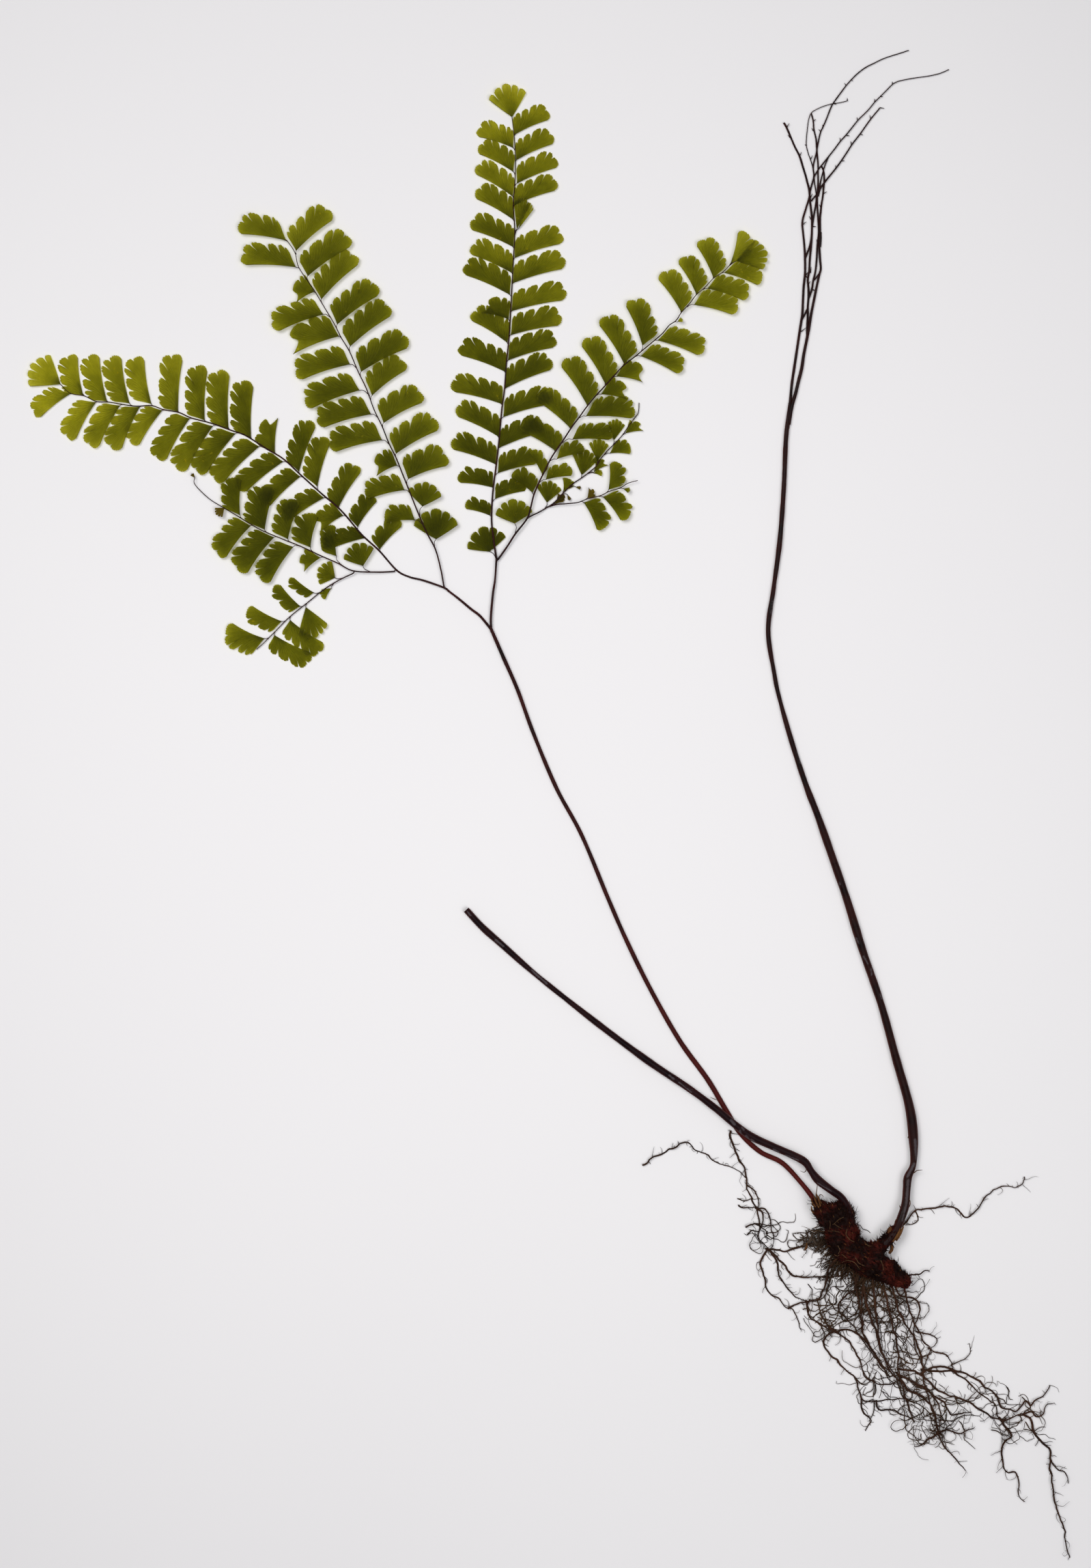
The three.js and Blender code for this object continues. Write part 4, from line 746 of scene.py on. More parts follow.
class Tree(Nodes):
    """A tree of nodes that make geometry, with named inputs."""

    def __init__(self, name):
        super().__init__(bpy.data.node_groups.new(name, "GeometryNodeTree"))
        for side in ("INPUT", "OUTPUT"):
            self.tree.interface.new_socket("Geometry", in_out=side, socket_type="NodeSocketGeometry")
        self.inlet = self.tree.nodes.new("NodeGroupInput")
        self.outlet = self.tree.nodes.new("NodeGroupOutput")
        self.geometry = self.inlet.outputs["Geometry"]

    def input(self, name, kind, value=None):
        socket = self.tree.interface.new_socket(name, in_out="INPUT", socket_type="NodeSocket" + kind)
        if value is not None:
            socket.default_value = value
        return self.inlet.outputs[name]

    def attribute(self, name, kind="FLOAT"):
        return self.node("GeometryNodeInputNamedAttribute", {"Name": name}, data_type=kind)

    def store(self, geometry, name, value, kind="FLOAT"):
        """Geometry whose points carry a value by that name."""
        sources = {"Geometry": geometry, "Name": name, "Value": value}
        return self.node("GeometryNodeStoreNamedAttribute", sources, data_type=kind)

    def pick(self, low, high, seed, kind="FLOAT"):
        """A random value for each element."""
        return self.node("FunctionNodeRandomValue", {"Min": low, "Max": high, "Seed": seed}, data_type=kind)

    def smooth_lines(self):
        """The edges that come in, as smooth curves."""
        line = self.node("GeometryNodeMeshToCurve", {"Mesh": self.geometry})
        return self.node("GeometryNodeCurveSplineType", {"Curve": line}, spline_type="CATMULL_ROM")

    def scattered(self, points, shapes, number, **stance):
        """At each point the shape of a collection that has the point's number."""
        sources = {"Collection": shapes, "Separate Children": True, "Reset Children": True}
        shape = self.node("GeometryNodeCollectionInfo", sources)
        sources = {"Points": points, "Instance": shape, "Pick Instance": True, "Instance Index": number}
        copies = self.node("GeometryNodeInstanceOnPoints", {**sources, **stance})
        return self.node("GeometryNodeRealizeInstances", {"Geometry": copies})

    def shake(self, where, size, amount):
        """A smooth random vector about zero that changes over the given size."""
        scaled = self.vector("SCALE", where, self.math("DIVIDE", 1.0, size))
        cloud = self.node("ShaderNodeTexNoise", {"Vector": scaled, "Scale": 1.0, "Detail": 2.0}).node
        centred = self.vector("SUBTRACT", cloud.outputs["Color"], (0.5, 0.5, 0.5))
        return self.vector("SCALE", centred, self.math("MULTIPLY", amount, 2.0))

    def shift(self, geometry, offset):
        return self.node("GeometryNodeSetPosition", {"Geometry": geometry, "Offset": offset})

    def end(self, geometry, look):
        """Ends the tree in plain, smooth, painted geometry, whatever was under the surface lifted onto it."""
        x, y, z = self.split(self.node("GeometryNodeInputPosition"))
        raised = self.node("ShaderNodeCombineXYZ", {"X": x, "Y": y, "Z": self.math("MAXIMUM", z, FLOOR_GAP)})
        above = self.node("GeometryNodeSetPosition", {"Geometry": geometry, "Position": raised})
        real = self.node("GeometryNodeRealizeInstances", {"Geometry": above})
        smooth = self.node("GeometryNodeSetShadeSmooth", {"Geometry": real})
        painted = self.node("GeometryNodeSetMaterial", {"Geometry": smooth, "Material": look})
        self.tree.links.new(painted, self.outlet.inputs["Geometry"])
        return self.tree


# The grooves along a stem: their breadth, and how little they change along it.
GROOVE_SIZE = 0.75 * MM
GROOVE_STRETCH = 0.07


def stem_tree():
    """Lines to stems: smoothed, wandering a little, round, with grooves and knobs."""
    t = Tree("stems")
    step = t.input("Step", "Float")
    sides = t.input("Sides", "Int")
    wander = t.input("Wander", "Float")
    wander_size = t.input("Wander Size", "Float", 4.0 * MM)
    swell = t.input("Swell", "Float")
    swell_size = t.input("Swell Size", "Float", 6.0 * MM)
    groove = t.input("Groove", "Float")
    look = t.input("Look", "Material")

    sources = {"Curve": t.smooth_lines(), "Length": step}
    line = t.node("GeometryNodeResampleCurve", sources, mode="LENGTH")
    place = t.node("GeometryNodeInputPosition")
    line = t.shift(line, t.shake(place, wander_size, wander))

    ring = t.node("GeometryNodeCurvePrimitiveCircle", {"Resolution": sides, "Radius": 1.0}, mode="RADIUS")
    ring = t.store(ring, "ring", place, "FLOAT_VECTOR")
    swelling = t.split(t.shake(place, swell_size, swell))[0]
    radius = t.math("MULTIPLY", t.attribute("radius"), t.math("ADD", 1.0, swelling))
    sources = {"Curve": line, "Profile Curve": ring, "Scale": radius, "Fill Caps": True}
    stems = t.node("GeometryNodeCurveToMesh", sources)

    around = t.attribute("ring", "FLOAT_VECTOR")
    ring_x, ring_y, _ = t.split(t.vector("SCALE", around, t.attribute("radius")))
    grain = t.node("ShaderNodeCombineXYZ", {"X": ring_x, "Y": ring_y, "Z": t.attribute("reach")})
    stems = t.store(stems, "grain", grain, "FLOAT_VECTOR")
    stems = t.store(stems, "flank", t.math("ABSOLUTE", t.split(around)[0]))
    stretched = t.vector("MULTIPLY", t.attribute("grain", "FLOAT_VECTOR"), (1.0, 1.0, GROOVE_STRETCH))
    depth = t.split(t.shake(stretched, GROOVE_SIZE, groove))[0]
    return t.end(t.shift(stems, t.vector("SCALE", t.node("GeometryNodeInputNormal"), depth)), look)


# How far a blade's spread trails behind its reach, how much shorter a fan is at its sides, and how far an
# oblong blade's foot is turned from the rib's way to the blade's own.
DROOP = 0.42
FAN_ROUNDING = 0.14
FOOT_TURN = 0.35
BLADE_THICKNESS = 0.15 * MM
WAVE_DEPTH = 0.2 * MM
WAVE_SIZE = 9.0 * MM


def leaflet_tree():
    """Places to leaflets: each takes a blade cut from the shared set and is laid out by its own measures.

    A blade is cut in (far, across) shares. An oblong one runs from its base along its reach and spreads
    towards the rib's tip; a fan turns about its base.
    """
    t = Tree("leaflets")
    blades = t.input("Blades", "Collection")
    look = t.input("Look", "Material")

    leaves = t.scattered(t.geometry, blades, t.attribute("cut", "INT"))
    far, across, layer = t.split(t.node("GeometryNodeInputPosition"))
    base, reach, side, along = (t.attribute(n, "FLOAT_VECTOR") for n in ("base", "reach", "side", "along"))
    breadth, fan = t.attribute("breadth"), t.attribute("fan")

    lean = t.math("MINIMUM", 1.0, t.math("ADD", far, FOOT_TURN))
    up = t.node("ShaderNodeMix", {"Factor": lean, "A": along, "B": side}, data_type="VECTOR")
    rise = t.math("MULTIPLY", t.math("SUBTRACT", across, t.math("MULTIPLY", far, DROOP)), breadth)
    outward = t.vector("SCALE", reach, far)
    oblong = t.vector("ADD", outward, t.vector("SCALE", t.vector("NORMALIZE", up), rise))

    turn = t.math("MULTIPLY", across, breadth)
    shorten = t.math("SUBTRACT", 1.0, t.math("MULTIPLY", t.math("ABSOLUTE", across), FAN_ROUNDING))
    radius = t.math("MULTIPLY", far, shorten)
    sideways = t.vector("SCALE", side, t.math("MULTIPLY", t.number("LENGTH", reach), t.math("SINE", turn)))
    fanned = t.vector("ADD", t.vector("SCALE", reach, t.math("COSINE", turn)), sideways)
    fanned = t.vector("SCALE", fanned, radius)
    flat = t.node("ShaderNodeMix", {"Factor": fan, "A": oblong, "B": fanned}, data_type="VECTOR")

    middle = t.math("SUBTRACT", across, t.math("MULTIPLY", fan, 0.5))
    tilt = t.math("MULTIPLY", t.attribute("tilt"), middle)
    curl = t.math("MULTIPLY", t.attribute("curl"), t.math("MULTIPLY", far, far))
    lift = t.math("ADD", t.math("MULTIPLY", layer, BLADE_THICKNESS), t.math("ADD", tilt, curl))
    where = t.vector("ADD", base, flat)
    still_foot = t.math("MINIMUM", 1.0, t.math("MULTIPLY", far, 3.0))
    waved = t.math("MULTIPLY", t.split(t.shake(where, WAVE_SIZE, WAVE_DEPTH))[2], still_foot)
    raised = t.node("ShaderNodeCombineXYZ", {"Z": t.math("ADD", lift, waved)})
    sources = {"Geometry": leaves, "Position": t.vector("ADD", where, raised)}
    return t.end(t.node("GeometryNodeSetPosition", sources), look)


# More than the shapes of any set, so that every shape of it is picked about as often.
ANY_SHAPE = 99
BRISTLE_SIZES = (0.6, 1.2)
BRISTLE_DRIFT = ((-1.0, -1.0, -0.5), (1.0, 1.0, 0.5))

# Rootlets point as far up as this for each step sideways, and less than a third of it down.
ROOTLET_RISE = 0.3
ROOTLET_SEED = 3


def bristle_tree():
    """A body to the bristles on it: each leaves the skin and leans along the way the body grows."""
    t = Tree("bristles")
    kinds = t.input("Kinds", "Collection")
    density = t.input("Density", "Float")
    lift = t.input("Lift", "Float")
    flow = t.input("Flow", "Vector")
    stray = t.input("Stray", "Float")
    seed = t.input("Seed", "Int")
    look = t.input("Look", "Material")

    sources = {"Mesh": t.geometry, "Density": density, "Seed": seed}
    skin = t.node("GeometryNodeDistributePointsOnFaces", sources)
    normal = next(s for s in skin.node.outputs if s.name == "Normal")
    drift = t.pick(*BRISTLE_DRIFT, seed, "FLOAT_VECTOR")
    along = t.vector("SUBTRACT", flow, t.vector("SCALE", normal, t.number("DOT_PRODUCT", flow, normal)))
    way = t.vector("ADD", along, t.vector("SCALE", normal, lift))
    way = t.vector("ADD", way, t.vector("SCALE", drift, stray))
    stand = t.node("FunctionNodeAxesToRotation", {"Primary Axis": way, "Secondary Axis": normal})
    points = t.store(skin, "tint", t.pick(0.0, 1.0, t.math("ADD", seed, 5.0)))
    kind, size = t.pick(0, ANY_SHAPE, seed, "INT"), t.pick(*BRISTLE_SIZES, seed)
    return t.end(t.scattered(points, kinds, kind, Rotation=stand, Scale=size), look)


def rootlet_tree():
    """Root lines to the short hair rootlets that stand out of them on all sides."""
    t = Tree("rootlets")
    kinds = t.input("Kinds", "Collection")
    spacing = t.input("Spacing", "Float")
    small = t.input("Smallest", "Float")
    large = t.input("Largest", "Float")
    look = t.input("Look", "Material")

    sources = {"Curve": t.smooth_lines(), "Length": spacing}
    points = t.node("GeometryNodeCurveToPoints", sources, mode="LENGTH")
    low, high = (-1.0, -1.0, -0.3 * ROOTLET_RISE), (1.0, 1.0, ROOTLET_RISE)
    way = t.pick(low, high, ROOTLET_SEED, "FLOAT_VECTOR")
    stand = t.node("FunctionNodeAxesToRotation", {"Primary Axis": way, "Secondary Axis": (0.0, 0.0, 1.0)})
    kind, size = t.pick(0, ANY_SHAPE, ROOTLET_SEED, "INT"), t.pick(small, large, ROOTLET_SEED)
    return t.end(t.scattered(points, kinds, kind, Rotation=stand, Scale=size), look)


LUMP_SIZE = 3.2 * MM
LUMP_DEPTH = 1.1 * MM
PIT_SIZE = 0.8 * MM
PIT_DEPTH = 0.4 * MM


def lump_tree():
    """A smooth body to a rough one: broad swellings with finer pits on them."""
    t = Tree("lumps")
    look = t.input("Look", "Material")
    place = t.node("GeometryNodeInputPosition")
    swelling = t.split(t.shake(place, LUMP_SIZE, LUMP_DEPTH))[0]
    depth = t.math("ADD", swelling, t.split(t.shake(place, PIT_SIZE, PIT_DEPTH))[1])
    return t.end(t.shift(t.geometry, t.vector("SCALE", t.node("GeometryNodeInputNormal"), depth)), look)


# ------------------------------------------------------------------ materials


class Paint(Nodes):
    """A material while it is built."""

    def __init__(self, name):
        self.material = bpy.data.materials.new(name)
        self.material.use_nodes = True
        super().__init__(self.material.node_tree)
        self.shader = self.tree.nodes["Principled BSDF"]
        self.surface = self.tree.nodes["Material Output"].inputs["Surface"]

    def place(self):
        """Object coordinates, in metres."""
        return self.node("ShaderNodeTexCoord").node.outputs["Object"]

    def attribute(self, name, part="Fac"):
        """A piece's own attribute, as a number or as a vector."""
        return self.node("ShaderNodeAttribute", attribute_name=name).node.outputs[part]

    def clouds(self, where, size, detail=3.0, roughness=0.55):
        """Soft noise from 0 to 1 whose features have about that size."""
        sources = {"Vector": where, "Scale": 1.0 / size, "Detail": detail, "Roughness": roughness}
        return self.node("ShaderNodeTexNoise", sources)

    def weighed(self, *parts):
        """The sum of (value, weight) parts."""
        values = [self.math("MULTIPLY", value, weight) for value, weight in parts]
        total = values[0]
        for value in values[1:]:
            total = self.math("ADD", total, value)
        return total

    def swing(self, value, weight):
        """A value from 0 to 1 turned into one about zero."""
        return self.math("MULTIPLY", self.math("SUBTRACT", value, 0.5), weight)

    def ramp(self, value, stops):
        """A colour from a value by (place, red, green, blue) stops in order."""
        made = self.node("ShaderNodeValToRGB", {0: value}).node
        elements = made.color_ramp.elements
        while len(elements) < len(stops):
            elements.new(0.5)
        for element, (where, *colour) in zip(elements, stops):
            element.position = where
            element.color = (*colour, 1.0)
        return made.outputs["Color"]

    def between(self, value, low, high, start=0.0, end=1.0):
        """A value's place between low and high, spread from start to end and kept between them."""
        sources = {"Value": value, "From Min": low, "From Max": high, "To Min": start, "To Max": end}
        return self.node("ShaderNodeMapRange", sources)

    def blend(self, share, a, b, mode="MIX"):
        sources = {"Factor": share, "A": a, "B": b}
        return self.node("ShaderNodeMix", sources, data_type="RGBA", blend_type=mode)

    def streak(self, where, start, end, half, ragged):
        """1 along the line between two plan places, and 0 beyond half plan units of it, its edge ragged."""
        start, end = plan(start), plan(end)
        way = end - start
        away = self.vector("SUBTRACT", self.vector("MULTIPLY", where, (1.0, 1.0, 0.0)), start)
        along = self.number("DOT_PRODUCT", away, way / way.length_squared)
        reached = self.vector("SCALE", way, self.math("MULTIPLY", along, 1.0, clamp=True))
        gap = self.math("ADD", self.number("DISTANCE", away, reached), ragged)
        width = half * UNIT * MM
        return self.between(gap, 0.45 * width, width, 1.0, 0.0)

    def bump(self, height, distance, strength):
        sources = {"Height": height, "Distance": distance, "Strength": strength}
        self.feed(self.shader.inputs["Normal"], self.node("ShaderNodeBump", sources))

    def coat(self, colour, roughness, shine):
        """The surface's colour, its roughness and how strongly it mirrors."""
        self.feed(self.shader.inputs["Base Color"], colour)
        self.feed(self.shader.inputs["Roughness"], roughness)
        self.feed(self.shader.inputs["Specular IOR Level"], shine)


# Veins at a blade's foot, and where each of them forks: (start, end, how far the branches part).
VEINS = 7.0
VEIN_FORKS = ((0.12, 0.3, 0.25), (0.38, 0.56, 0.125), (0.64, 0.8, 0.0625))

# Light through a blade: (lightness, red, green, blue), then the colours of its marks.
LEAF_SHADES = (
    (0.0, 0.31, 0.32, 0.03),
    (0.33, 0.47, 0.475, 0.05),
    (0.53, 0.59, 0.59, 0.08),
    (0.67, 0.69, 0.685, 0.12),
    (1.0, 0.92, 0.90, 0.26),
)
LEAF_FOOT = (0.30, 0.31, 0.12)
LEAF_VEIN = (0.26, 0.24, 0.02)
LEAF_FLECK = (0.95, 0.85, 0.12)
LEAF_RIM = (0.86, 0.82, 0.2)
LEAF_HEM_AND_SHADOW = (0.17, 0.13, 0.10)
WITHERED = ((0.3, 0.24, 0.08), (0.58, 0.48, 0.14))
LEAF_SKIN = (0.3, 0.32, 0.28)


def vein_distance(p, fan, far):
    """How far a place is from the nearest vein, in shares of a vein's field: veins fork three times."""
    off = p.math("ABSOLUTE", p.math("SUBTRACT", p.math("FRACT", p.math("MULTIPLY", fan, VEINS)), 0.5))
    for start, end, parted in VEIN_FORKS:
        off = p.math("ABSOLUTE", p.math("SUBTRACT", off, p.between(far, start, end, 0.0, parted)))
    return p.math("MULTIPLY", off, far)


def leaf_material():
    """Thin olive green blade: forking veins, yellow flecks, paler rim, darker foot, light through it."""
    p = Paint("leaf_green")
    uv = p.node("ShaderNodeUVMap", uv_map="UVMap")
    fan, far, _ = p.split(uv)
    tint = p.attribute("tint")
    where = p.place()
    vein = p.between(vein_distance(p, fan, far), 0.004, 0.02, 1.0, 0.0)
    patches = p.clouds(where, 6.0 * MM)
    grain = p.clouds(where, 0.7 * MM)
    lightness = p.math("ADD", p.weighed((far, 0.45), (tint, 0.6)), p.swing(patches, 0.7))
    lightness = p.math("DIVIDE", p.math("ADD", lightness, p.swing(grain, 0.35)), 1.5)
    through = p.ramp(lightness, LEAF_SHADES)
    through = p.blend(p.between(far, 0.05, 0.3, 0.55, 0.0), through, LEAF_FOOT)
    through = p.blend(p.math("MULTIPLY", vein, 0.45), through, LEAF_VEIN)
    fleck = p.between(p.clouds(where, 0.9 * MM, 1.0, 0.4), 0.72, 0.76)
    few = p.between(p.clouds(where, 7.0 * MM, 0.0), 0.56, 0.62)
    through = p.blend(p.math("MULTIPLY", p.math("MULTIPLY", fleck, few), 0.7), through, LEAF_FLECK)
    through = p.blend(p.between(far, 0.955, 1.0, 0.0, 0.4), through, LEAF_RIM)
    # A dark line along the lower margin: partly the leaflet's dark hem, partly painted contact shadow.
    through = p.blend(p.between(fan, 0.006, 0.03, 0.7, 0.0), through, LEAF_HEM_AND_SHADOW)
    through = p.blend(p.between(tint, -0.7, -0.3, 0.85, 0.0), through, p.blend(grain, *WITHERED))
    skin = p.blend(1.0, through, LEAF_SKIN, "MULTIPLY")
    p.coat(skin, p.between(grain, 0.2, 0.8, 0.5, 0.72), 0.25)
    p.bump(p.weighed((vein, -1.0), (grain, 1.0)), 0.04 * MM, 0.7)
    light_through = p.node("ShaderNodeBsdfTranslucent", {"Color": through})
    sources = {"Fac": 0.9, 1: p.shader.outputs["BSDF"], 2: light_through}
    p.feed(p.surface, p.node("ShaderNodeMixShader", sources))
    return p.material


# The colours of stalks and roots, each dark and warm.
RIB_BLACK = ((0.010, 0.004, 0.004), (0.04, 0.010, 0.008))
STALK_RED = ((0.006, 0.003, 0.003), (0.045, 0.008, 0.007))
STALK_PURPLE = ((0.004, 0.002, 0.003), (0.02, 0.005, 0.006))
STALK_BROWN = ((0.004, 0.002, 0.002), (0.025, 0.006, 0.005))
ROOT_BROWN = ((0.010, 0.004, 0.002), (0.060, 0.024, 0.012))
FINE_ROOT_BROWN = ((0.011, 0.005, 0.0025), (0.070, 0.036, 0.016))
STRAND_TAN = ((0.045, 0.022, 0.010), (0.15, 0.085, 0.04))
COLLAR_AMBER = ((0.04, 0.012, 0.004), (0.15, 0.065, 0.018))
SOIL_GREY = ((0.02, 0.013, 0.009), (0.10, 0.07, 0.05))

# The stalks' red near the rootstock, and the red at their flanks that is painted light through their sides,
# dark and warm; and the grey of their dust and painted highlights.
FOOT_RED = ((0.03, 0.003, 0.003), (0.11, 0.010, 0.007))
FLANK_LIGHT_THROUGH_RED = ((0.035, 0.005, 0.004), (0.12, 0.02, 0.011))
DUST_AND_GLINT_GREY = (0.065, 0.052, 0.056)


def stalk_material(name, dark, warm, scuff_and_glint, gloss, edge=0.75, red_reach=None, dusty_and_glinting=()):
    """A polished wiry stalk: long streaks, grey scuffs that are partly painted highlights, redder towards
    the rootstock, and redder flanks painted as light through its sides. Its places of dust and painted
    highlights are (start, end, half breadth) in plan units."""
    p = Paint(name)
    where = p.place()
    drawn_out = {"Vector": p.attribute("grain", "Vector"), "Scale": (1.0, 1.0, 0.05)}
    streaks = p.clouds(p.node("ShaderNodeMapping", drawn_out), 0.35 * MM, 4.0)
    patches = p.clouds(where, 9.0 * MM, 2.0)
    worn_and_glint = p.clouds(where, 0.5 * MM, 5.0, 0.7)
    share = p.between(p.weighed((streaks, 0.6), (patches, 0.4)), 0.38, 0.64)
    colour = p.blend(share, dark, warm)
    if red_reach:
        away = p.number("DISTANCE", where, plan(FRESH_STIPE[0]))
        red = p.between(away, 0.15 * red_reach, red_reach, 0.9, 0.0)
        colour = p.blend(red, colour, p.blend(streaks, *FOOT_RED))
    # Redder flanks: painted light shining through the stalk's thin sides.
    flank = p.between(p.attribute("flank"), 0.6, 1.0, 0.0, edge)
    colour = p.blend(flank, colour, p.blend(streaks, *FLANK_LIGHT_THROUGH_RED))
    # Grey scuffs: partly wear, partly painted highlights.
    grey = p.between(p.weighed((worn_and_glint, 1.0), (streaks, 0.5)), 0.92, 0.98, 0.0, scuff_and_glint)
    ragged = p.swing(worn_and_glint, 0.9 * MM)
    # Pale streaks along the old stalks: partly dust, partly painted highlights on their flat facets.
    for start, end, half in dusty_and_glinting:
        dust_and_glint = p.streak(where, start, end, half, ragged)
        grey = p.math("MAXIMUM", grey, p.math("MULTIPLY", dust_and_glint, p.between(streaks, 0.3, 0.6, 0.5, 1.0)))
    p.coat(p.blend(grey, colour, DUST_AND_GLINT_GREY), p.between(streaks, 0.42, 0.58, gloss - 0.1, gloss + 0.25), 0.08)
    p.bump(p.weighed((streaks, 1.0), (worn_and_glint, 0.5)), 0.16 * MM, 0.9)
    return p.material


def root_material(name, dark, warm, rough_size=0.4 * MM):
    """Matt wiry root: bark-like mottling and fine bumps."""
    p = Paint(name)
    where = p.place()
    mottle = p.clouds(where, rough_size, 5.0, 0.65)
    patches = p.clouds(where, 12.0 * MM, 2.0)
    share = p.between(p.weighed((mottle, 0.6), (patches, 0.5)), 0.42, 0.72)
    p.coat(p.blend(share, dark, warm), p.between(mottle, 0.3, 0.7, 0.62, 0.9), 0.12)
    p.bump(mottle, 0.1 * MM, 0.8)
    return p.material


# The rootstock's flesh and its scales share the size of their patches: (lightness, red, green, blue).
PATCH_SIZE = 4.5 * MM
FLESH_SHADES = (
    (0.0, 0.004, 0.002, 0.001),
    (0.5, 0.009, 0.003, 0.002),
    (0.6, 0.045, 0.005, 0.003),
    (0.75, 0.1, 0.014, 0.006),
)
SCALE_SHADES = (
    (0.3, 0.004, 0.001, 0.0005),
    (0.5, 0.011, 0.0015, 0.0008),
    (0.62, 0.036, 0.004, 0.0015),
    (0.72, 0.072, 0.009, 0.004),
)
RUST = (0.11, 0.045, 0.015)


def core_material():
    """The rootstock's flesh between its scales: near black with deep red patches."""
    p = Paint("rootstock_red")
    where = p.place()
    patches = p.clouds(where, PATCH_SIZE, 3.0)
    grit = p.clouds(where, 0.6 * MM, 5.0, 0.7)
    p.coat(p.ramp(p.weighed((patches, 0.75), (grit, 0.3)), FLESH_SHADES), 0.7, 0.1)
    p.bump(grit, 0.25 * MM, 0.9)
    return p.material


def scale_material():
    """Bristly scales in the colours of the flesh under them, a few of them rusty."""
    p = Paint("scale_brown")
    tint = p.attribute("tint")
    where = p.place()
    patches = p.clouds(where, PATCH_SIZE, 3.0)
    grain = p.clouds(where, 0.3 * MM)
    share = p.math("ADD", p.weighed((tint, 0.22), (patches, 0.8)), p.swing(grain, 0.25))
    p.coat(p.blend(p.between(tint, 0.95, 0.99), p.ramp(share, SCALE_SHADES), RUST), 0.65, 0.08)
    p.bump(grain, 0.05 * MM, 0.6)
    return p.material


def floor_material():
    """Plain pale floor."""
    p = Paint("pale_floor")
    where = p.place()
    cloud = p.clouds(where, 0.35, 2.0)
    fibre = p.clouds(where, 1.5 * MM, 2.0)
    p.coat(p.blend(cloud, (0.80, 0.79, 0.80), (0.84, 0.832, 0.838)), 0.9, 0.1)
    p.bump(fibre, 0.02 * MM, 0.3)
    return p.material


# ------------------------------------------------------------------ blades

# Margins of blades in (far, across) shares: an oblong's runs from the end of its plain lower side round
# the tip and back along its upper side, and a fan's from side to side.
OBLONG_MARGIN = [
    (0.9, 0.06), (0.972, 0.2), (1.0, 0.45), (0.988, 0.76), (0.925, 1.0), (0.82, 1.06), (0.62, 1.03),
    (0.4, 0.99), (0.22, 0.95), (0.11, 0.84), (0.045, 0.66),
]
TORN_MARGIN = [
    (1.0, 0.03), (0.9, 0.22), (0.86, 0.42), (1.0, 0.6), (0.98, 0.76), (0.88, 0.95), (0.7, 1.02),
    (0.5, 1.01), (0.3, 0.97), (0.13, 0.86), (0.05, 0.68),
]
FAN_MARGIN = [(1.0, -1.0), (1.0, -0.5), (1.0, 0.0), (1.0, 0.5), (1.0, 1.0)]

# The kinds of blade: how many are cut, the margin and how far it strays, the teeth and where along the
# margin they start, and the clefts as (places along the margin, depth, how far the depth strays).
BLADES = {
    "oblong": {
        "cuts": 10,
        "margin": OBLONG_MARGIN,
        "stray": 0.025,
        "teeth": 26,
        "smooth_start": 0.0,
        "clefts": [((0.28, 0.85), 0.09, 0.06), ((0.43, 0.58, 0.72), 0.25, 0.12)],
    },
    "short": {
        "cuts": 5,
        "margin": OBLONG_MARGIN,
        "stray": 0.035,
        "teeth": 20,
        "smooth_start": 0.0,
        "clefts": [((0.36, 0.58, 0.79), 0.25, 0.12)],
    },
    "torn": {
        "cuts": 4,
        "margin": TORN_MARGIN,
        "stray": 0.08,
        "teeth": 18,
        "smooth_start": 0.5,
        "clefts": [((0.62, 0.8), 0.18, 0.08)],
    },
    "fan": {
        "cuts": 5,
        "margin": FAN_MARGIN,
        "stray": 0.02,
        "teeth": 26,
        "smooth_start": 0.0,
        "clefts": [((0.2, 0.4, 0.6, 0.8), 0.27, 0.12)],
    },
}
CLEFT_STRAY = 0.05

# Rings of points from a blade's foot to its margin, and points along the margin to each tooth.
RINGS = (0.14, 0.3, 0.48, 0.66, 0.8, 0.9, 1.0)
STEPS_PER_TOOTH = 4
PLEATS = 11
PLEAT_DEPTH = 0.3

# How far a cleft's sides draw back from the margin, step by step away from it, in shares of its depth.
CLEFT_SIDES = (1.0, 0.38, 0.13, 0.06, 0.03, 0.012)
LOBE_BULGE = 0.035
NOTCH_DEPTH = 0.014
NOTCH_STRAY = 0.018
MARGIN_WOBBLE = 0.006


def margin_point(corners, share):
    """A place on the smooth line through a margin's corner points."""
    step, t = step_at(corners, share)
    a, b, c, d = (corners[min(max(step + k, 0), len(corners) - 1)] for k in (-1, 0, 1, 2))
    return tuple(
        0.5 * (2 * b[i] + (c[i] - a[i]) * t + (2 * a[i] - 5 * b[i] + 4 * c[i] - d[i]) * t * t
               + (3 * b[i] - a[i] - 3 * c[i] + d[i]) * t**3)
        for i in (0, 1)
    )


def margin_rows(draw, corners, teeth, clefts, smooth_start):
    """Places along a blade's margin, as (share of the margin, share of the full reach, far, across).

    Teeth are rounded with small notches between them, and a cleft is cut deeper between round lobes. The
    margin has no teeth before smooth_start.
    """
    notch = [NOTCH_DEPTH + NOTCH_STRAY * draw.random() for _ in range(teeth + 1)]
    ends = [0.0] + sorted(place for place, _ in clefts) + [1.0]
    steps = teeth * STEPS_PER_TOOTH
    rows = []
    for k in range(steps + 1):
        share = k / steps
        tooth, part = divmod(k, STEPS_PER_TOOTH)
        reach = 1.0 + MARGIN_WOBBLE * (draw.random() - 0.5)
        lobe = next(n for n, end in enumerate(ends[1:]) if share <= end)
        bulge = math.sin(math.pi * (share - ends[lobe]) / (ends[lobe + 1] - ends[lobe]))
        reach += LOBE_BULGE * (bulge - 0.5)
        if share >= smooth_start and part == 0:
            reach -= notch[tooth]
        for place, depth in clefts:
            gap = abs(k - round(place * steps))
            if gap < len(CLEFT_SIDES):
                reach -= depth * CLEFT_SIDES[gap]
        rows.append((share, reach, *margin_point(corners, share)))
    return rows


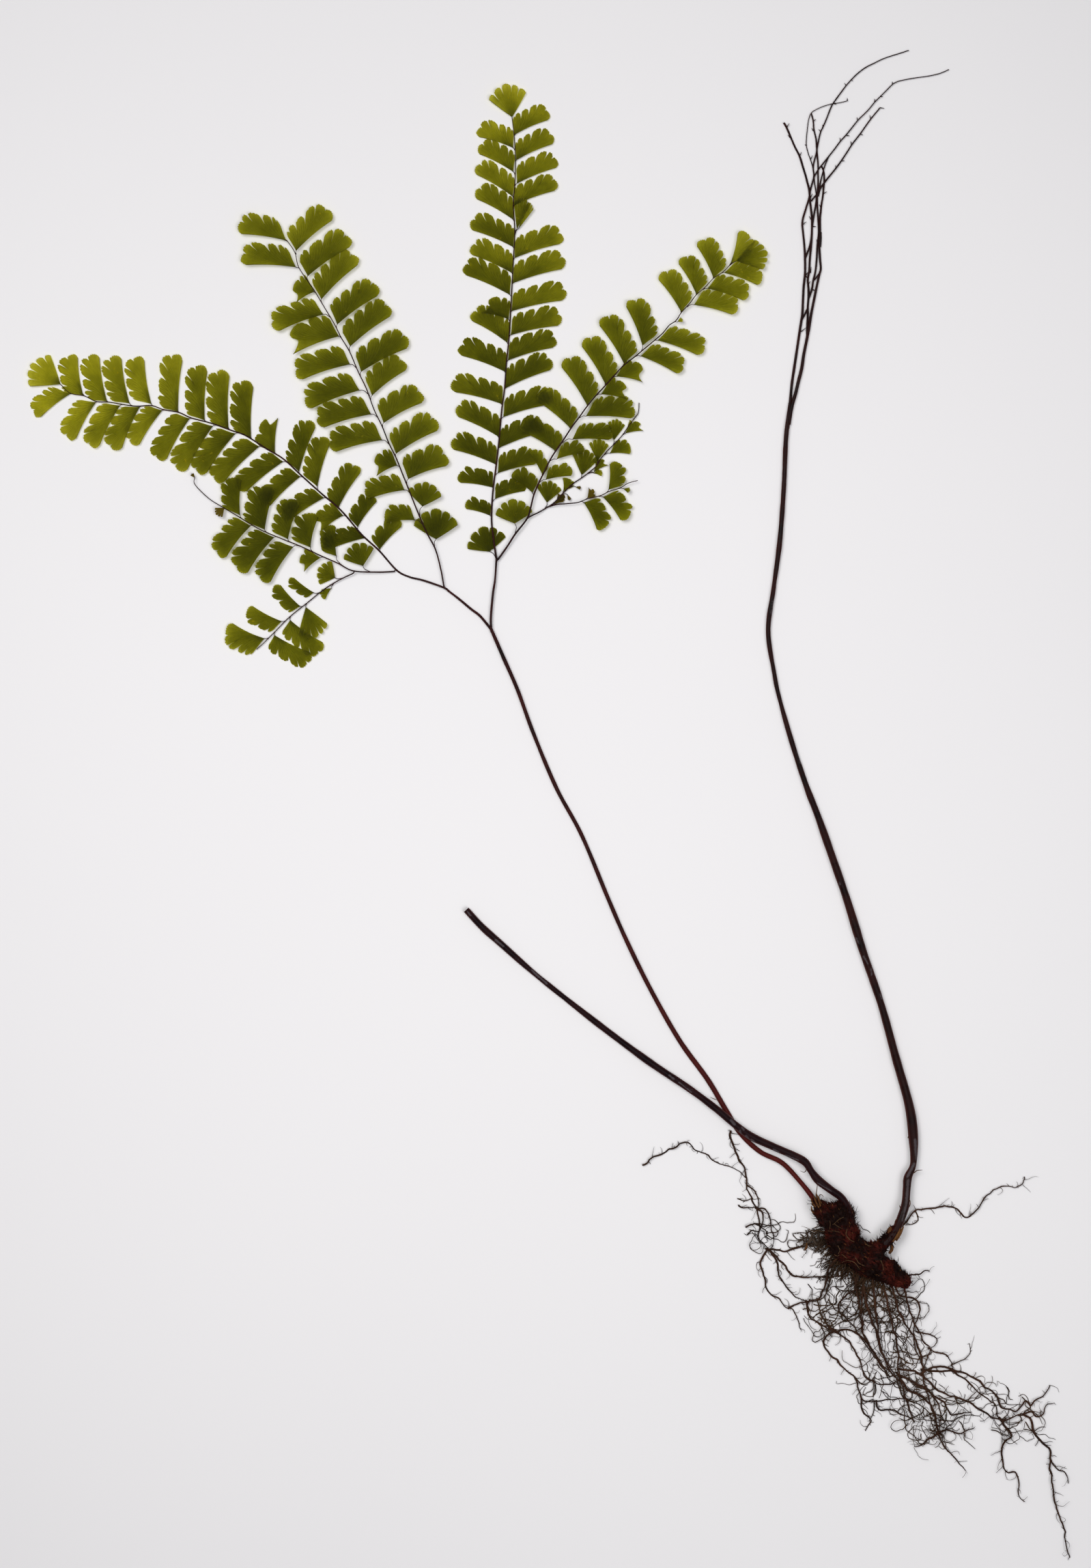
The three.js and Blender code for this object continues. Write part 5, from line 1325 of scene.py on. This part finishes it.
def vein_points(row, fan):
    """The points of one vein from near a blade's foot to its margin: straight in a fan, bent otherwise."""
    share, reach, u, v = row
    if fan:
        return [(ring * reach * u, v * (1.0 + 0.05 * (1 - ring))) for ring in RINGS]
    bend = (mix(0.72, 0.5, (2 * share - 1) ** 2) * u, 0.3 * v + 0.14 * (1 - share) ** 4)
    return [
        tuple(2 * t * (1 - t) * bend[i] + t * t * (u, v)[i] for i in (0, 1))
        for t in (ring * reach for ring in RINGS)
    ]


def cut_blade(name, rows, fan):
    """A thin closed pleated blade in (far, across) shares, with its (margin, reach) shares as UVMap."""
    points, uvs, pleat = [(0.0, 0.0)], [(0.5, 0.0)], [0.0]
    for row in rows:
        points += vein_points(row, fan)
        uvs += [(row[0], ring * row[1]) for ring in RINGS]
        pleat += [PLEAT_DEPTH * ring * math.cos(2 * math.pi * PLEATS * row[0]) for ring in RINGS]
    top = [(x, y, 0.5 + w) for (x, y), w in zip(points, pleat)]
    bottom = [(x, y, -0.5 + w) for (x, y), w in zip(points, pleat)]
    count, last, rings = len(points), len(rows) - 1, len(RINGS)

    def corner(row, ring):
        return 1 + row * rings + ring

    faces = []
    for row in range(last):
        faces.append((0, corner(row, 0), corner(row + 1, 0)))
        for ring in range(rings - 1):
            here, there = corner(row, ring), corner(row + 1, ring)
            faces.append((here, here + 1, there + 1, there))
    edge = [0] + [corner(0, ring) for ring in range(rings)]
    edge += [corner(row, rings - 1) for row in range(1, last + 1)]
    edge += [corner(last, ring) for ring in range(rings - 2, -1, -1)]
    under = [tuple(count + k for k in reversed(face)) for face in faces]
    walls = [(b, a, a + count, b + count) for a, b in zip(edge, edge[1:] + edge[:1])]
    mesh = plain_mesh(name, top + bottom, [], faces + under + walls)
    layer = mesh.uv_layers.new(name="UVMap")
    for loop in mesh.loops:
        layer.data[loop.index].uv = uvs[loop.vertex_index % count]
    return mesh


def cut_blades():
    """The shared set of blades, kind after kind, each cut anew."""
    draw = random.Random(11)
    kept = bpy.data.collections.new("blades")

    def near(value, stray):
        return value + stray * (draw.random() - 0.5)

    made = []
    for kind, cut in BLADES.items():
        for _ in range(cut["cuts"]):
            clefts = [
                (near(place, CLEFT_STRAY), near(depth, stray))
                for places, depth, stray in cut["clefts"]
                for place in places
            ]
            corners = [(near(u, cut["stray"]), near(v, cut["stray"])) for u, v in cut["margin"]]
            made.append((corners, cut["teeth"], clefts, cut["smooth_start"], kind == "fan"))
    for k, (corners, teeth, clefts, smooth_start, fan) in enumerate(made):
        name = f"blade_{k:02d}"
        placed(name, cut_blade(name, margin_rows(draw, corners, teeth, clefts, smooth_start), fan), kept)
    return kept


# An oblong leaflet up to this length takes a short blade.
SHORT_LEAFLET = 10.5 * MM


def pick_cut(draw, kind, length):
    """The number of a blade of that kind in the shared set."""
    if kind == "oblong" and length <= SHORT_LEAFLET:
        kind = "short"
    kinds = list(BLADES)
    before = sum(BLADES[other]["cuts"] for other in kinds[:kinds.index(kind)])
    return before + draw.randrange(BLADES[kind]["cuts"])


# ------------------------------------------------------------------ leafy arms

# What the leaflet tree reads at each leaflet's place, and the kind of each attribute.
LEAFLET_MEASURES = {
    "base": "FLOAT_VECTOR",
    "reach": "FLOAT_VECTOR",
    "side": "FLOAT_VECTOR",
    "along": "FLOAT_VECTOR",
    "breadth": "FLOAT",
    "fan": "FLOAT",
    "cut": "INT",
    "tint": "FLOAT",
    "tilt": "FLOAT",
    "curl": "FLOAT",
}

# A torn leaflet's breadth over its full length, how far tints stray, and the tint of a withered leaflet.
TORN_SHARE = 0.42
GLOW_STRAY = (-0.18, 0.18)
WITHERED_TINT = -1.0


def foot_on(rib, base):
    """The nearest place on a rib, the way the rib runs there, and its share of the rib's length."""
    best = None
    for k, (a, b) in enumerate(zip(rib, rib[1:])):
        part = b - a
        t = min(max((base - a).dot(part) / part.length_squared, 0.0), 1.0)
        off = (a + part * t - base).length
        if best is None or off < best[0]:
            best = (off, a + part * t, part.normalized(), (k + t) / (len(rib) - 1))
    return best[1:]


def leaflet_measures(draw, arm, rib, leaflet):
    """What the leaflet tree has to know of one leaflet."""
    kind, start, tip, share, *state = leaflet
    reach = plan(tip) - plan(start)
    length = reach.length
    _, along, place = foot_on(rib, plan(start))
    side = Vector((-reach.y, reach.x, 0.0)).normalized()
    if side.dot(along) < 0:
        side = -side
    if kind == "fan":
        breadth = math.radians(share)
    else:
        breadth = arm["wide"] * length * (TORN_SHARE if kind == "torn" else share)
    return {
        "base": plan(start, arm["level"]),
        "reach": reach * (share if kind == "torn" else 1.0),
        "side": side,
        "along": along,
        "breadth": breadth,
        "fan": 1.0 if kind == "fan" else 0.0,
        "cut": pick_cut(draw, kind, length),
        "tint": WITHERED_TINT if state else mix(*arm["glow"], place) + draw.uniform(*GLOW_STRAY),
        "tilt": draw.uniform(-0.12, -0.3) * MM,
        "curl": draw.uniform(-0.1, 0.35) * MM,
    }


def arm_leaflets(name, arm, blades, tree, look):
    """All leaflets of one arm, laid out from their measures."""
    draw = random.Random(name)
    rib = [plan(p) for p in arm["rib"]]
    rows = [leaflet_measures(draw, arm, rib, leaflet) for leaflet in arm["leaflets"]]
    mesh = plain_mesh(name, [(0.0, 0.0, 0.0)] * len(rows))
    for key, kind in LEAFLET_MEASURES.items():
        values = [row[key] for row in rows]
        data = mesh.attributes.new(key, kind, "POINT").data
        if kind == "FLOAT_VECTOR":
            data.foreach_set("vector", [x for value in values for x in value])
        else:
            data.foreach_set("value", values)
    piece = grown(placed(name, mesh), tree, name, Blades=blades, Look=look)
    for key in LEAFLET_MEASURES:
        spare = piece.data.attributes.get(key)
        if spare and key != "tint":
            piece.data.attributes.remove(spare)
    return piece


# Half thicknesses in millimetres: a rib's tip, and a leaflet's stalk from the rib into the blade.
RIB_TIP = 0.1
STALKLET = (0.11, 0.085, 0.08, 0.035)


def arm_rib(name, arm, tree, look):
    """An arm's rib with the hair-thin stalk of each leaflet."""
    level, thick, joint = arm["level"], arm["thick"], arm["joint"]
    flat = [plan(p) for p in arm["rib"]]
    last = len(flat) - 1
    heights = [arm["foot"], mix(arm["foot"], level, 0.5)] + [level] * (last - 1)
    rib = [(plan(joint, joint[2]), thick * MM)]
    rib += [
        (plan(p, heights[k]), mix(thick, RIB_TIP, (k / last) ** 0.8) * MM)
        for k, p in enumerate(arm["rib"])
    ]
    strands = [rib]
    # Each stalk leaves the rib a little before its leaflet, bends over and ends inside the blade.
    for _, start, tip, *_ in arm["leaflets"]:
        base = plan(start)
        foot, along, _ = foot_on(flat, base)
        back = foot - along * (1.3 * (foot - base).length + 0.2 * MM)
        bend = mix(mix(back, foot, 0.6), base, 0.45)
        into = base + (plan(tip) - base).normalized() * 0.6 * MM
        strands.append([
            (Vector((p.x, p.y, level * MM)), half * MM)
            for p, half in zip((back, bend, base, into), STALKLET)
        ])
    return grown(line_object(name, strands), tree, name, Step=0.5 * MM, Sides=8, Swell=0.12, Look=look)


# ------------------------------------------------------------------ twigs

# Heights of the twigs above the surface, from base to tip, and of a stub's foot and end.
TWIG_HEIGHTS = (0.4, 0.44, 0.36)
SPUR_HEIGHTS = (0.4, 0.55)
SPUR_GIRTHS = (0.15, 0.06)


def twig_lines():
    """The old frond's bare twigs, each thinner towards its tip, with the stubs of their lost leaf stalks."""
    lines = []
    for base, tip, places in TWIGS:
        heights = [max(base, TWIG_HEIGHTS[0]), *TWIG_HEIGHTS[1:]]
        lines.append(flat_strand(places, [base, mix(base, tip, 0.7), tip], heights))
    for right, down, go_right, go_down in SPURS:
        end = (right + go_right, down + go_down)
        lines.append(flat_strand([(right, down), end], SPUR_GIRTHS, SPUR_HEIGHTS))
    return lines


# ------------------------------------------------------------------ rootstock

# The core in the scales is slimmer than the limbs, and flatter about a middle height in millimetres.
CORE_SHARE = 0.78
CORE_HEIGHT = 3.2
CORE_SQUASH = 0.66
CORE_VOXEL = 0.32 * MM
BRISTLE_KINDS = 10

# Pale strands laid over the rootstock: half thickness, how far they lie above it, and their height in
# millimetres where there is nothing under them.
LAID_GIRTH = 0.13
LAID_ABOVE = 0.3
LAID_BESIDE = 2.0
HIGH_ABOVE = 20.0


def hook_lines(table):
    """Tapering strands of one height each."""
    return [
        flat_strand(places, [thick * 0.7, thick, thick * 0.35], [height]) for thick, height, places in table
    ]


def laid_lines(core):
    """The pale strands, each laid on top of the rootstock."""
    body = BVHTree.FromPolygons([v.co for v in core.data.vertices], [p.vertices for p in core.data.polygons])
    lines = []
    for places in LAID:
        line = []
        for k, place in enumerate(places):
            hit = body.ray_cast(plan(place, HIGH_ABOVE), Vector((0.0, 0.0, -1.0)))[0]
            height = hit.z / MM + LAID_ABOVE if hit else LAID_BESIDE
            line.append((plan(place, height), LAID_GIRTH * MM * (1.0 - 0.4 * k / len(places))))
        lines.append(line)
    return lines


def rootstock_core(tree, lumps, look):
    """The rootstock's limbs grown together into one lumpy body."""
    lines = []
    for limb in ROOTSTOCK:
        line = [(plan(p, p[2]), p[3] * MM * CORE_SHARE) for p in limb]
        (before, _), (end, radius) = line[-2:]
        beyond = (end - before).normalized()
        line += [(end + beyond * 0.6 * radius, radius * 0.75), (end + beyond * radius, radius * 0.15)]
        lines.append(line)
    limbs = dict(Step=0.8 * MM, Sides=20, Swell=0.22, Swell_Size=4.0 * MM, Look=look)
    core = grown(line_object("limbs", lines), tree, "limbs", **limbs)
    for vertex in core.data.vertices:
        vertex.co.z = mix(CORE_HEIGHT * MM, vertex.co.z, CORE_SQUASH)
    remesh = core.modifiers.new("join", "REMESH")
    remesh.mode = "VOXEL"
    remesh.voxel_size = CORE_VOXEL
    joined = baked(core)
    bpy.data.objects.remove(core)
    joined.materials.clear()
    return grown(placed("rootstock_core", joined), lumps, "rootstock_core", Look=look)


def spindle(name, length, width, bend, wave, collection, sections):
    """A pointed bristle along +Z with a flattened three-sided section: it bends over towards +X, and a
    wavy one snakes from side to side."""

    def middle(t):
        return bend * t * t + wave * math.sin(7.0 * t), wave * (math.cos(5.0 * t) - 1.0), length * t

    points = [(0.0, 0.0, 0.0)]
    for k in range(1, sections):
        t = k / sections
        half = 0.5 * width * math.sin(math.pi * t**0.6) ** 0.8
        x, y, z = middle(t)
        points += [(x - 0.3 * half, y - half, z), (x - 0.3 * half, y + half, z), (x + 0.6 * half, y, z)]
    points.append(middle(1.0))
    last = len(points) - 1
    faces = []
    for a in range(3):
        b = (a + 1) % 3
        faces.append((0, 1 + b, 1 + a))
        faces.append((last, last - 3 + a, last - 3 + b))
        for row in range(1, last - 3, 3):
            faces.append((row + a, row + b, row + 3 + b, row + 3 + a))
    return placed(name, plain_mesh(name, points, [], faces), collection)


def bristle_kinds(name, seed, length, width, bend, wave=0.0, sections=5):
    """A collection of differently bent bristles to scatter."""
    draw = random.Random(seed)
    kept = bpy.data.collections.new(name)
    for k in range(BRISTLE_KINDS):
        own_length = length * draw.uniform(0.7, 1.2)
        own_width = width * draw.uniform(0.7, 1.3)
        own_bend = bend * draw.uniform(-1.0, 1.0)
        own_wave = wave * draw.uniform(-1.0, 1.0)
        spindle(f"{name}_{k}", own_length, own_width, own_bend, own_wave, kept, sections)
    return kept


# ------------------------------------------------------------------ roots

# The main roots are slimmer than their table says by this share. Those that start within reach of the
# crown come down from it, by a rise in millimetres over the height that all of them have.
ROOT_SHARE = 0.74
CROWN = (1275, 1850)
CROWN_REACH = 12 * MM
CROWN_RISE = 1.9
ROOT_HEIGHT = 0.28

# Threads in the tangles and the beard: their half thickness and heights in millimetres, how much thinner
# they end, and how far under the rootstock's middle line the beard starts.
THREAD_GIRTH = (0.09, 0.17)
THREAD_TAPER = 0.6
TANGLE_HEIGHT = (0.15, 1.1)
BEARD_HEIGHT = (0.8, 3.8)
BEARD_DEPTH = (0.6, 4.2)
BEARD_SIDE = Vector((-0.66, -0.75, 0.0))
BEARD_ROOTS = 300

CRUMB_KINDS = 6
CRUMB_RADIUS = 0.26 * MM
CRUMB_GRAIN = 0.17 * MM
CRUMB_ROUGHNESS = 0.9


def root_lines():
    """The main roots: each dips from the rootstock to the surface and humps over its neighbours."""
    draw = random.Random(23)
    lines = []
    for girth, places in ROOTS:
        thick = girth * ROOT_SHARE
        last = len(places) - 1
        from_crown = (plan(places[0]) - plan(CROWN)).length < CROWN_REACH
        hump = draw.uniform(0.15, 0.9)
        line = []
        for k, place in enumerate(places):
            rise = CROWN_RISE * math.exp(-k / 1.6) if from_crown else 0.0
            height = ROOT_HEIGHT + rise + hump * abs(math.sin(1.7 * k + 6 * hump))
            line.append((plan(place, height), mix(thick, thick * 0.45, (k / last) ** 1.5) * MM))
        lines.append(line)
    return lines


def strand_lines():
    """Thinner root strands that leave the main roots."""
    draw = random.Random(29)
    return [
        flat_strand(places, [0.16, 0.14, 0.08], [0.3, draw.uniform(0.2, 0.8), 0.3, 0.2]) for places in STRANDS
    ]


def soil_lines():
    """Lumpy strands caked with soil beside the rootstock."""
    return [flat_strand(places, [0.26, 0.36, 0.2], [1.1, 0.8, 0.5]) for places in CAKED]


def thread_point(place, height, girth, thinner):
    """A point of a thread at a height in millimetres, its girth less by a share."""
    return Vector((place.x, place.y, height * MM)), girth * (1.0 - thinner) * MM


def tangle_lines():
    """The finest roots: thin curled threads in the thick of the roots, most of them falling away from the
    rootstock, and turned back where they leave their tangle."""
    draw = random.Random(31)
    lines = []
    for right, down, radius, count in TANGLES:
        centre = plan((right, down))
        reach = radius * UNIT * MM
        for _ in range(count):
            turn = draw.uniform(0, 2 * math.pi)
            far = reach * math.sqrt(draw.random())
            place = centre + way_of(turn) * far
            fall = ROOT_FALL + draw.gauss(0.0, 0.9)
            curl = draw.gauss(0.0, 0.22)
            height = draw.uniform(*TANGLE_HEIGHT)
            girth = draw.uniform(*THREAD_GIRTH)
            steps = draw.randint(5, 15)
            line = []
            for k in range(steps):
                line.append(thread_point(place, height, girth, THREAD_TAPER * k / steps))
                fall += curl
                heading = fall + draw.gauss(0.0, 0.4)
                if (place - centre).length > reach * 1.1:
                    inward = math.atan2(centre.y - place.y, centre.x - place.x)
                    fall += 0.6 * math.sin(inward - fall)
                place = place + way_of(heading) * draw.uniform(0.7, 1.5) * MM
                height = min(max(height + draw.uniform(-0.2, 0.2), 0.12), 1.4)
            lines.append(line)
    return lines


def beard_lines():
    """The dense beard of short roots under the rootstock's lower edge."""
    draw = random.Random(47)
    limb = [plan(p, p[2]) for p in ROOTSTOCK[0]]
    lines = []
    for _ in range(BEARD_ROOTS):
        place = spread(limb, draw.triangular(0.08, 0.9, 0.42))
        place = place + BEARD_SIDE * draw.uniform(*BEARD_DEPTH) * MM
        heading = draw.gauss(-1.9, 0.7)
        height = draw.uniform(*BEARD_HEIGHT)
        girth = draw.uniform(*THREAD_GIRTH)
        steps = draw.randint(4, 10)
        line = []
        for k in range(steps):
            line.append(thread_point(place, height, girth, THREAD_TAPER * k / steps))
            place = place + way_of(heading + draw.gauss(0.0, 0.5)) * draw.uniform(0.7, 1.4) * MM
            height = max(0.2, height - draw.uniform(0.1, 0.6))
        lines.append(line)
    return lines


def side_line(draw, place, way, girth):
    """One short curved rootlet that leaves a root to one side of its way."""
    heading = math.atan2(way.y, way.x) + draw.choice((-1, 1)) * draw.uniform(0.5, 1.4)
    curl = draw.gauss(0.0, 0.5)
    step = draw.uniform(0.3, 1.1) * MM
    line = []
    for k in range(draw.randint(3, 5)):
        line.append((place.copy(), max(girth * 0.42, 0.07 * MM) * (1.0 - 0.18 * k)))
        place = place + way_of(heading, draw.uniform(-0.15, 0.2)) * step
        heading += curl + draw.gauss(0.0, 0.3)
    return line


def side_lines(parents, spacing):
    """Short side rootlets all along their parents, on both sides."""
    draw = random.Random(37)
    lines = []
    for parent in parents:
        since = draw.uniform(0.0, spacing)
        for (a, girth), (b, _) in zip(parent, parent[1:]):
            part = b - a
            while since < part.length:
                lines.append(side_line(draw, a + part * (since / part.length), part, girth))
                since += spacing * draw.uniform(0.4, 1.7)
            since -= part.length
    return lines


def starts_near(line, place, radius):
    """Whether a line starts within that many plan units of a place."""
    start = line[0][0]
    return (Vector((start.x, start.y, 0.0)) - plan(place)).length < radius * UNIT * MM


def crumb_kinds():
    """Small rough crumbs of soil."""
    draw = random.Random(43)
    kept = bpy.data.collections.new("crumbs")
    for k in range(CRUMB_KINDS):
        shape = bmesh.new()
        bmesh.ops.create_icosphere(shape, subdivisions=2, radius=CRUMB_RADIUS)
        stretch = Vector((draw.uniform(0.7, 1.6), draw.uniform(0.6, 1.0), draw.uniform(0.6, 1.0)))
        for vertex in shape.verts:
            lump = noise.noise(vertex.co / CRUMB_GRAIN + Vector((7.0 * k, 0.0, 0.0)))
            vertex.co *= 1.0 + CRUMB_ROUGHNESS * lump
            vertex.co *= stretch
        mesh = bpy.data.meshes.new(f"crumb_{k}")
        shape.to_mesh(mesh)
        shape.free()
        placed(f"crumb_{k}", mesh, kept)
    return kept


# ------------------------------------------------------------------ the plant


def leafy_arms(stems):
    """Leaflets and rib of each arm."""
    leaflets = leaflet_tree()
    green = leaf_material()
    wiry = stalk_material("rib_black", *RIB_BLACK, scuff_and_glint=0.1, gloss=0.4, edge=0.2)
    blades = cut_blades()
    for key, arm in ARMS.items():
        node = key.replace("arm", "pinna")
        finish_piece(arm_leaflets(f"{key}_leaflets", arm, blades, leaflets, green), node)
        finish_piece(arm_rib(f"{key}_rib", arm, stems, wiry), node)


def stalks(stems):
    """The fresh stalk with its fork, the old cut stalk, and the old frond's stalk and twigs."""
    red = stalk_material("fresh_stalk_red", *STALK_RED, scuff_and_glint=0.5, gloss=0.3, red_reach=110 * MM)
    old = dict(scuff_and_glint=0.85, gloss=0.33)
    purple = stalk_material("old_stalk_purple", *STALK_PURPLE, dusty_and_glinting=OLD_STIPE_DUST_AND_GLINTS, **old)
    brown = stalk_material("old_frond_brown", *STALK_BROWN, dusty_and_glinting=OLD_FROND_DUST_AND_GLINTS, **old)
    fresh = [
        stalk_line(FRESH_STIPE, FRESH_GIRTHS),
        stalk_line(LEFT_ARM, [0.36, 0.3]),
        stalk_line(RIGHT_ARM, [0.34, 0.28]),
    ]
    cut = [stalk_line(OLD_STIPE, OLD_STIPE_GIRTHS)]
    bare = [stalk_line(OLD_FROND, OLD_FROND_GIRTHS)]
    on_fresh = ("stipe", "fresh_stipe")
    on_cut = ("old_stipe", "old_cut_stipe")
    on_frond = ("old_stipe", "old_leafless_frond")
    shared = dict(Step=0.6 * MM, Swell=0.05)
    stem_piece("fresh_stalk", fresh, stems, red, *on_fresh, Sides=18, Groove=0.12 * MM, **shared)
    stem_piece("old_cut_stalk", cut, stems, purple, *on_cut, Sides=24, Groove=0.24 * MM, **shared)
    stem_piece("old_frond_stalk", bare, stems, brown, *on_frond, Sides=24, Groove=0.26 * MM, **shared)
    stem_piece("old_frond_twigs", twig_lines(), stems, brown, *on_frond, Step=0.7 * MM, Sides=8, Swell=0.15)


def rootstock(stems):
    """The rootstock with its scales, hairs and fibres, and what lies on it and stands beside it."""
    core = finish_piece(rootstock_core(stems, lump_tree(), core_material()), "rootstock")
    brown = scale_material()
    tree = bristle_tree()
    scales = bristle_kinds("scale", 51, 1.1 * MM, 0.3 * MM, 0.4 * MM)
    hairs = bristle_kinds("hair", 52, 1.35 * MM, 0.085 * MM, 0.75 * MM, 0.12 * MM, sections=7)
    fibres = bristle_kinds("fibre", 53, 2.4 * MM, 0.14 * MM, 1.1 * MM, 0.35 * MM, sections=9)
    for name, kinds, values in (
        ("rootstock_scales", scales, dict(Density=5.0e6, Lift=0.12, Stray=0.6, Seed=7)),
        ("rootstock_hairs", hairs, dict(Density=1.1e6, Lift=0.45, Stray=1.1, Seed=9)),
        ("rootstock_fibres", fibres, dict(Density=0.6e6, Lift=0.0, Stray=1.0, Seed=12)),
    ):
        source = placed(name, core.data.copy())
        piece = grown(source, tree, name, Kinds=kinds, Flow=ROOTSTOCK_FLOW, Look=brown, **values)
        finish_piece(piece, "rootstock")
    tan = root_material("strand_tan", *STRAND_TAN)
    wander = dict(Wander=0.25 * MM, Wander_Size=1.5 * MM)
    stem_piece("laid_strands", laid_lines(core), stems, tan, Step=0.4 * MM, Sides=7, **wander)
    stem_piece("hooked_hairs", hook_lines(HOOKS), stems, tan, Step=0.3 * MM, Sides=7)
    amber = root_material("collar_amber", *COLLAR_AMBER, 0.7 * MM)
    rough = dict(Groove=0.15 * MM, Swell=0.3)
    stem_piece("collar_scales", hook_lines(COLLAR), stems, amber, Step=0.25 * MM, Sides=10, **rough)


def roots(stems):
    """All the roots, from the main ones to the finest, and the soil that still cakes some."""
    brown = root_material("root_brown", *ROOT_BROWN)
    tan = root_material("fine_root_brown", *FINE_ROOT_BROWN)
    main_lines, thin_lines = root_lines(), strand_lines()
    tangles = tangle_lines()
    rough = dict(Wander=0.75 * MM, Wander_Size=3.2 * MM, Swell=0.45, Swell_Size=3.0 * MM, Groove=0.08 * MM)
    stem_piece("main_roots", main_lines, stems, brown, Step=0.5 * MM, Sides=9, **rough)
    fine = thin_lines + tangles + beard_lines()
    rough = dict(Wander=0.2 * MM, Wander_Size=2 * MM, Swell=0.3)
    stem_piece("fine_roots", fine, stems, tan, Step=0.6 * MM, Sides=6, **rough)
    sides = side_lines(main_lines + thin_lines, 2.2 * MM)
    rough = dict(Wander=0.1 * MM, Wander_Size=1.5 * MM)
    stem_piece("side_rootlets", sides, stems, tan, Step=0.35 * MM, Sides=5, **rough)
    thorns = bristle_kinds("rootlet", 41, 0.8 * MM, 0.12 * MM, 0.6 * MM, 0.12 * MM)
    hairs = dict(Kinds=thorns, Spacing=1.9 * MM, Smallest=0.35, Largest=1.3)
    stem_piece("root_hairs", main_lines + thin_lines, rootlet_tree(), tan, **hairs)
    soil = root_material("soil_grey", *SOIL_GREY, 0.25 * MM)
    rough = dict(Wander=0.3 * MM, Wander_Size=1.5 * MM, Swell=0.7, Swell_Size=1.2 * MM, Groove=0.2 * MM)
    stem_piece("caked_roots", soil_lines(), stems, soil, Step=0.3 * MM, Sides=12, **rough)
    caked = [line for line in tangles if starts_near(line, SOIL_PLACE, SOIL_RADIUS)]
    crumbs = dict(Kinds=crumb_kinds(), Spacing=0.7 * MM, Smallest=0.3, Largest=1.0)
    stem_piece("soil_crumbs", caked, rootlet_tree(), soil, **crumbs)


# ------------------------------------------------------------------ floor, light and camera

FLOOR_HALF = 2.5
LAMP_SPREAD = math.radians(51)
WORLD_COLOUR = (0.96, 0.96, 1.0, 1.0)
WORLD_STRENGTH = 0.24

# The middle of the view and its height, in plan units.
VIEW_MIDDLE = (799, 1148)
VIEW_HEIGHT = 2296


def floor():
    """The pale surface the plant lies on."""
    corners = [(x * FLOOR_HALF, y * FLOOR_HALF, 0.0) for x, y in ((-1, -1), (1, -1), (1, 1), (-1, 1))]
    mesh = plain_mesh("floor", corners, [], [(0, 1, 2, 3)])
    mesh.materials.append(floor_material())
    placed("floor", mesh)


def lamp(name, place, size, power, colour):
    """A square soft light that faces the middle of the plant."""
    data = bpy.data.lights.new(name, "AREA")
    data.shape, data.size, data.energy, data.color = "SQUARE", size, power, colour
    data.spread = LAMP_SPREAD
    made = placed(name, data)
    made.location = place
    made.rotation_euler = (-Vector(place)).to_track_quat("-Z", "Y").to_euler()


def light():
    """Two soft lamps from above and a pale world."""
    lamp("key", place=(-0.42, 0.36, 0.95), size=0.7, power=1.02, colour=(1.0, 0.99, 0.975))
    lamp("fill", place=(0.4, -0.25, 1.0), size=0.9, power=1.04, colour=(1.0, 0.99, 1.0))
    world = bpy.data.worlds.new("pale")
    world.use_nodes = True
    background = world.node_tree.nodes["Background"]
    background.inputs["Color"].default_value = WORLD_COLOUR
    background.inputs["Strength"].default_value = WORLD_STRENGTH
    bpy.context.scene.world = world


def camera():
    """Straight down, framed as the plant lies."""
    data = bpy.data.cameras.new("camera")
    data.lens, data.sensor_width = 100.0, 36.0
    data.clip_start, data.clip_end = 0.01, 20.0
    made = placed("camera", data)
    middle = plan(VIEW_MIDDLE)
    made.location = (middle.x, middle.y, VIEW_HEIGHT * UNIT * MM * data.lens / data.sensor_width)
    bpy.context.scene.camera = made
    bpy.context.scene.view_settings.view_transform = "Standard"


def main():
    camera()
    stems = stem_tree()
    leafy_arms(stems)
    stalks(stems)
    rootstock(stems)
    roots(stems)
    floor()
    light()


main()
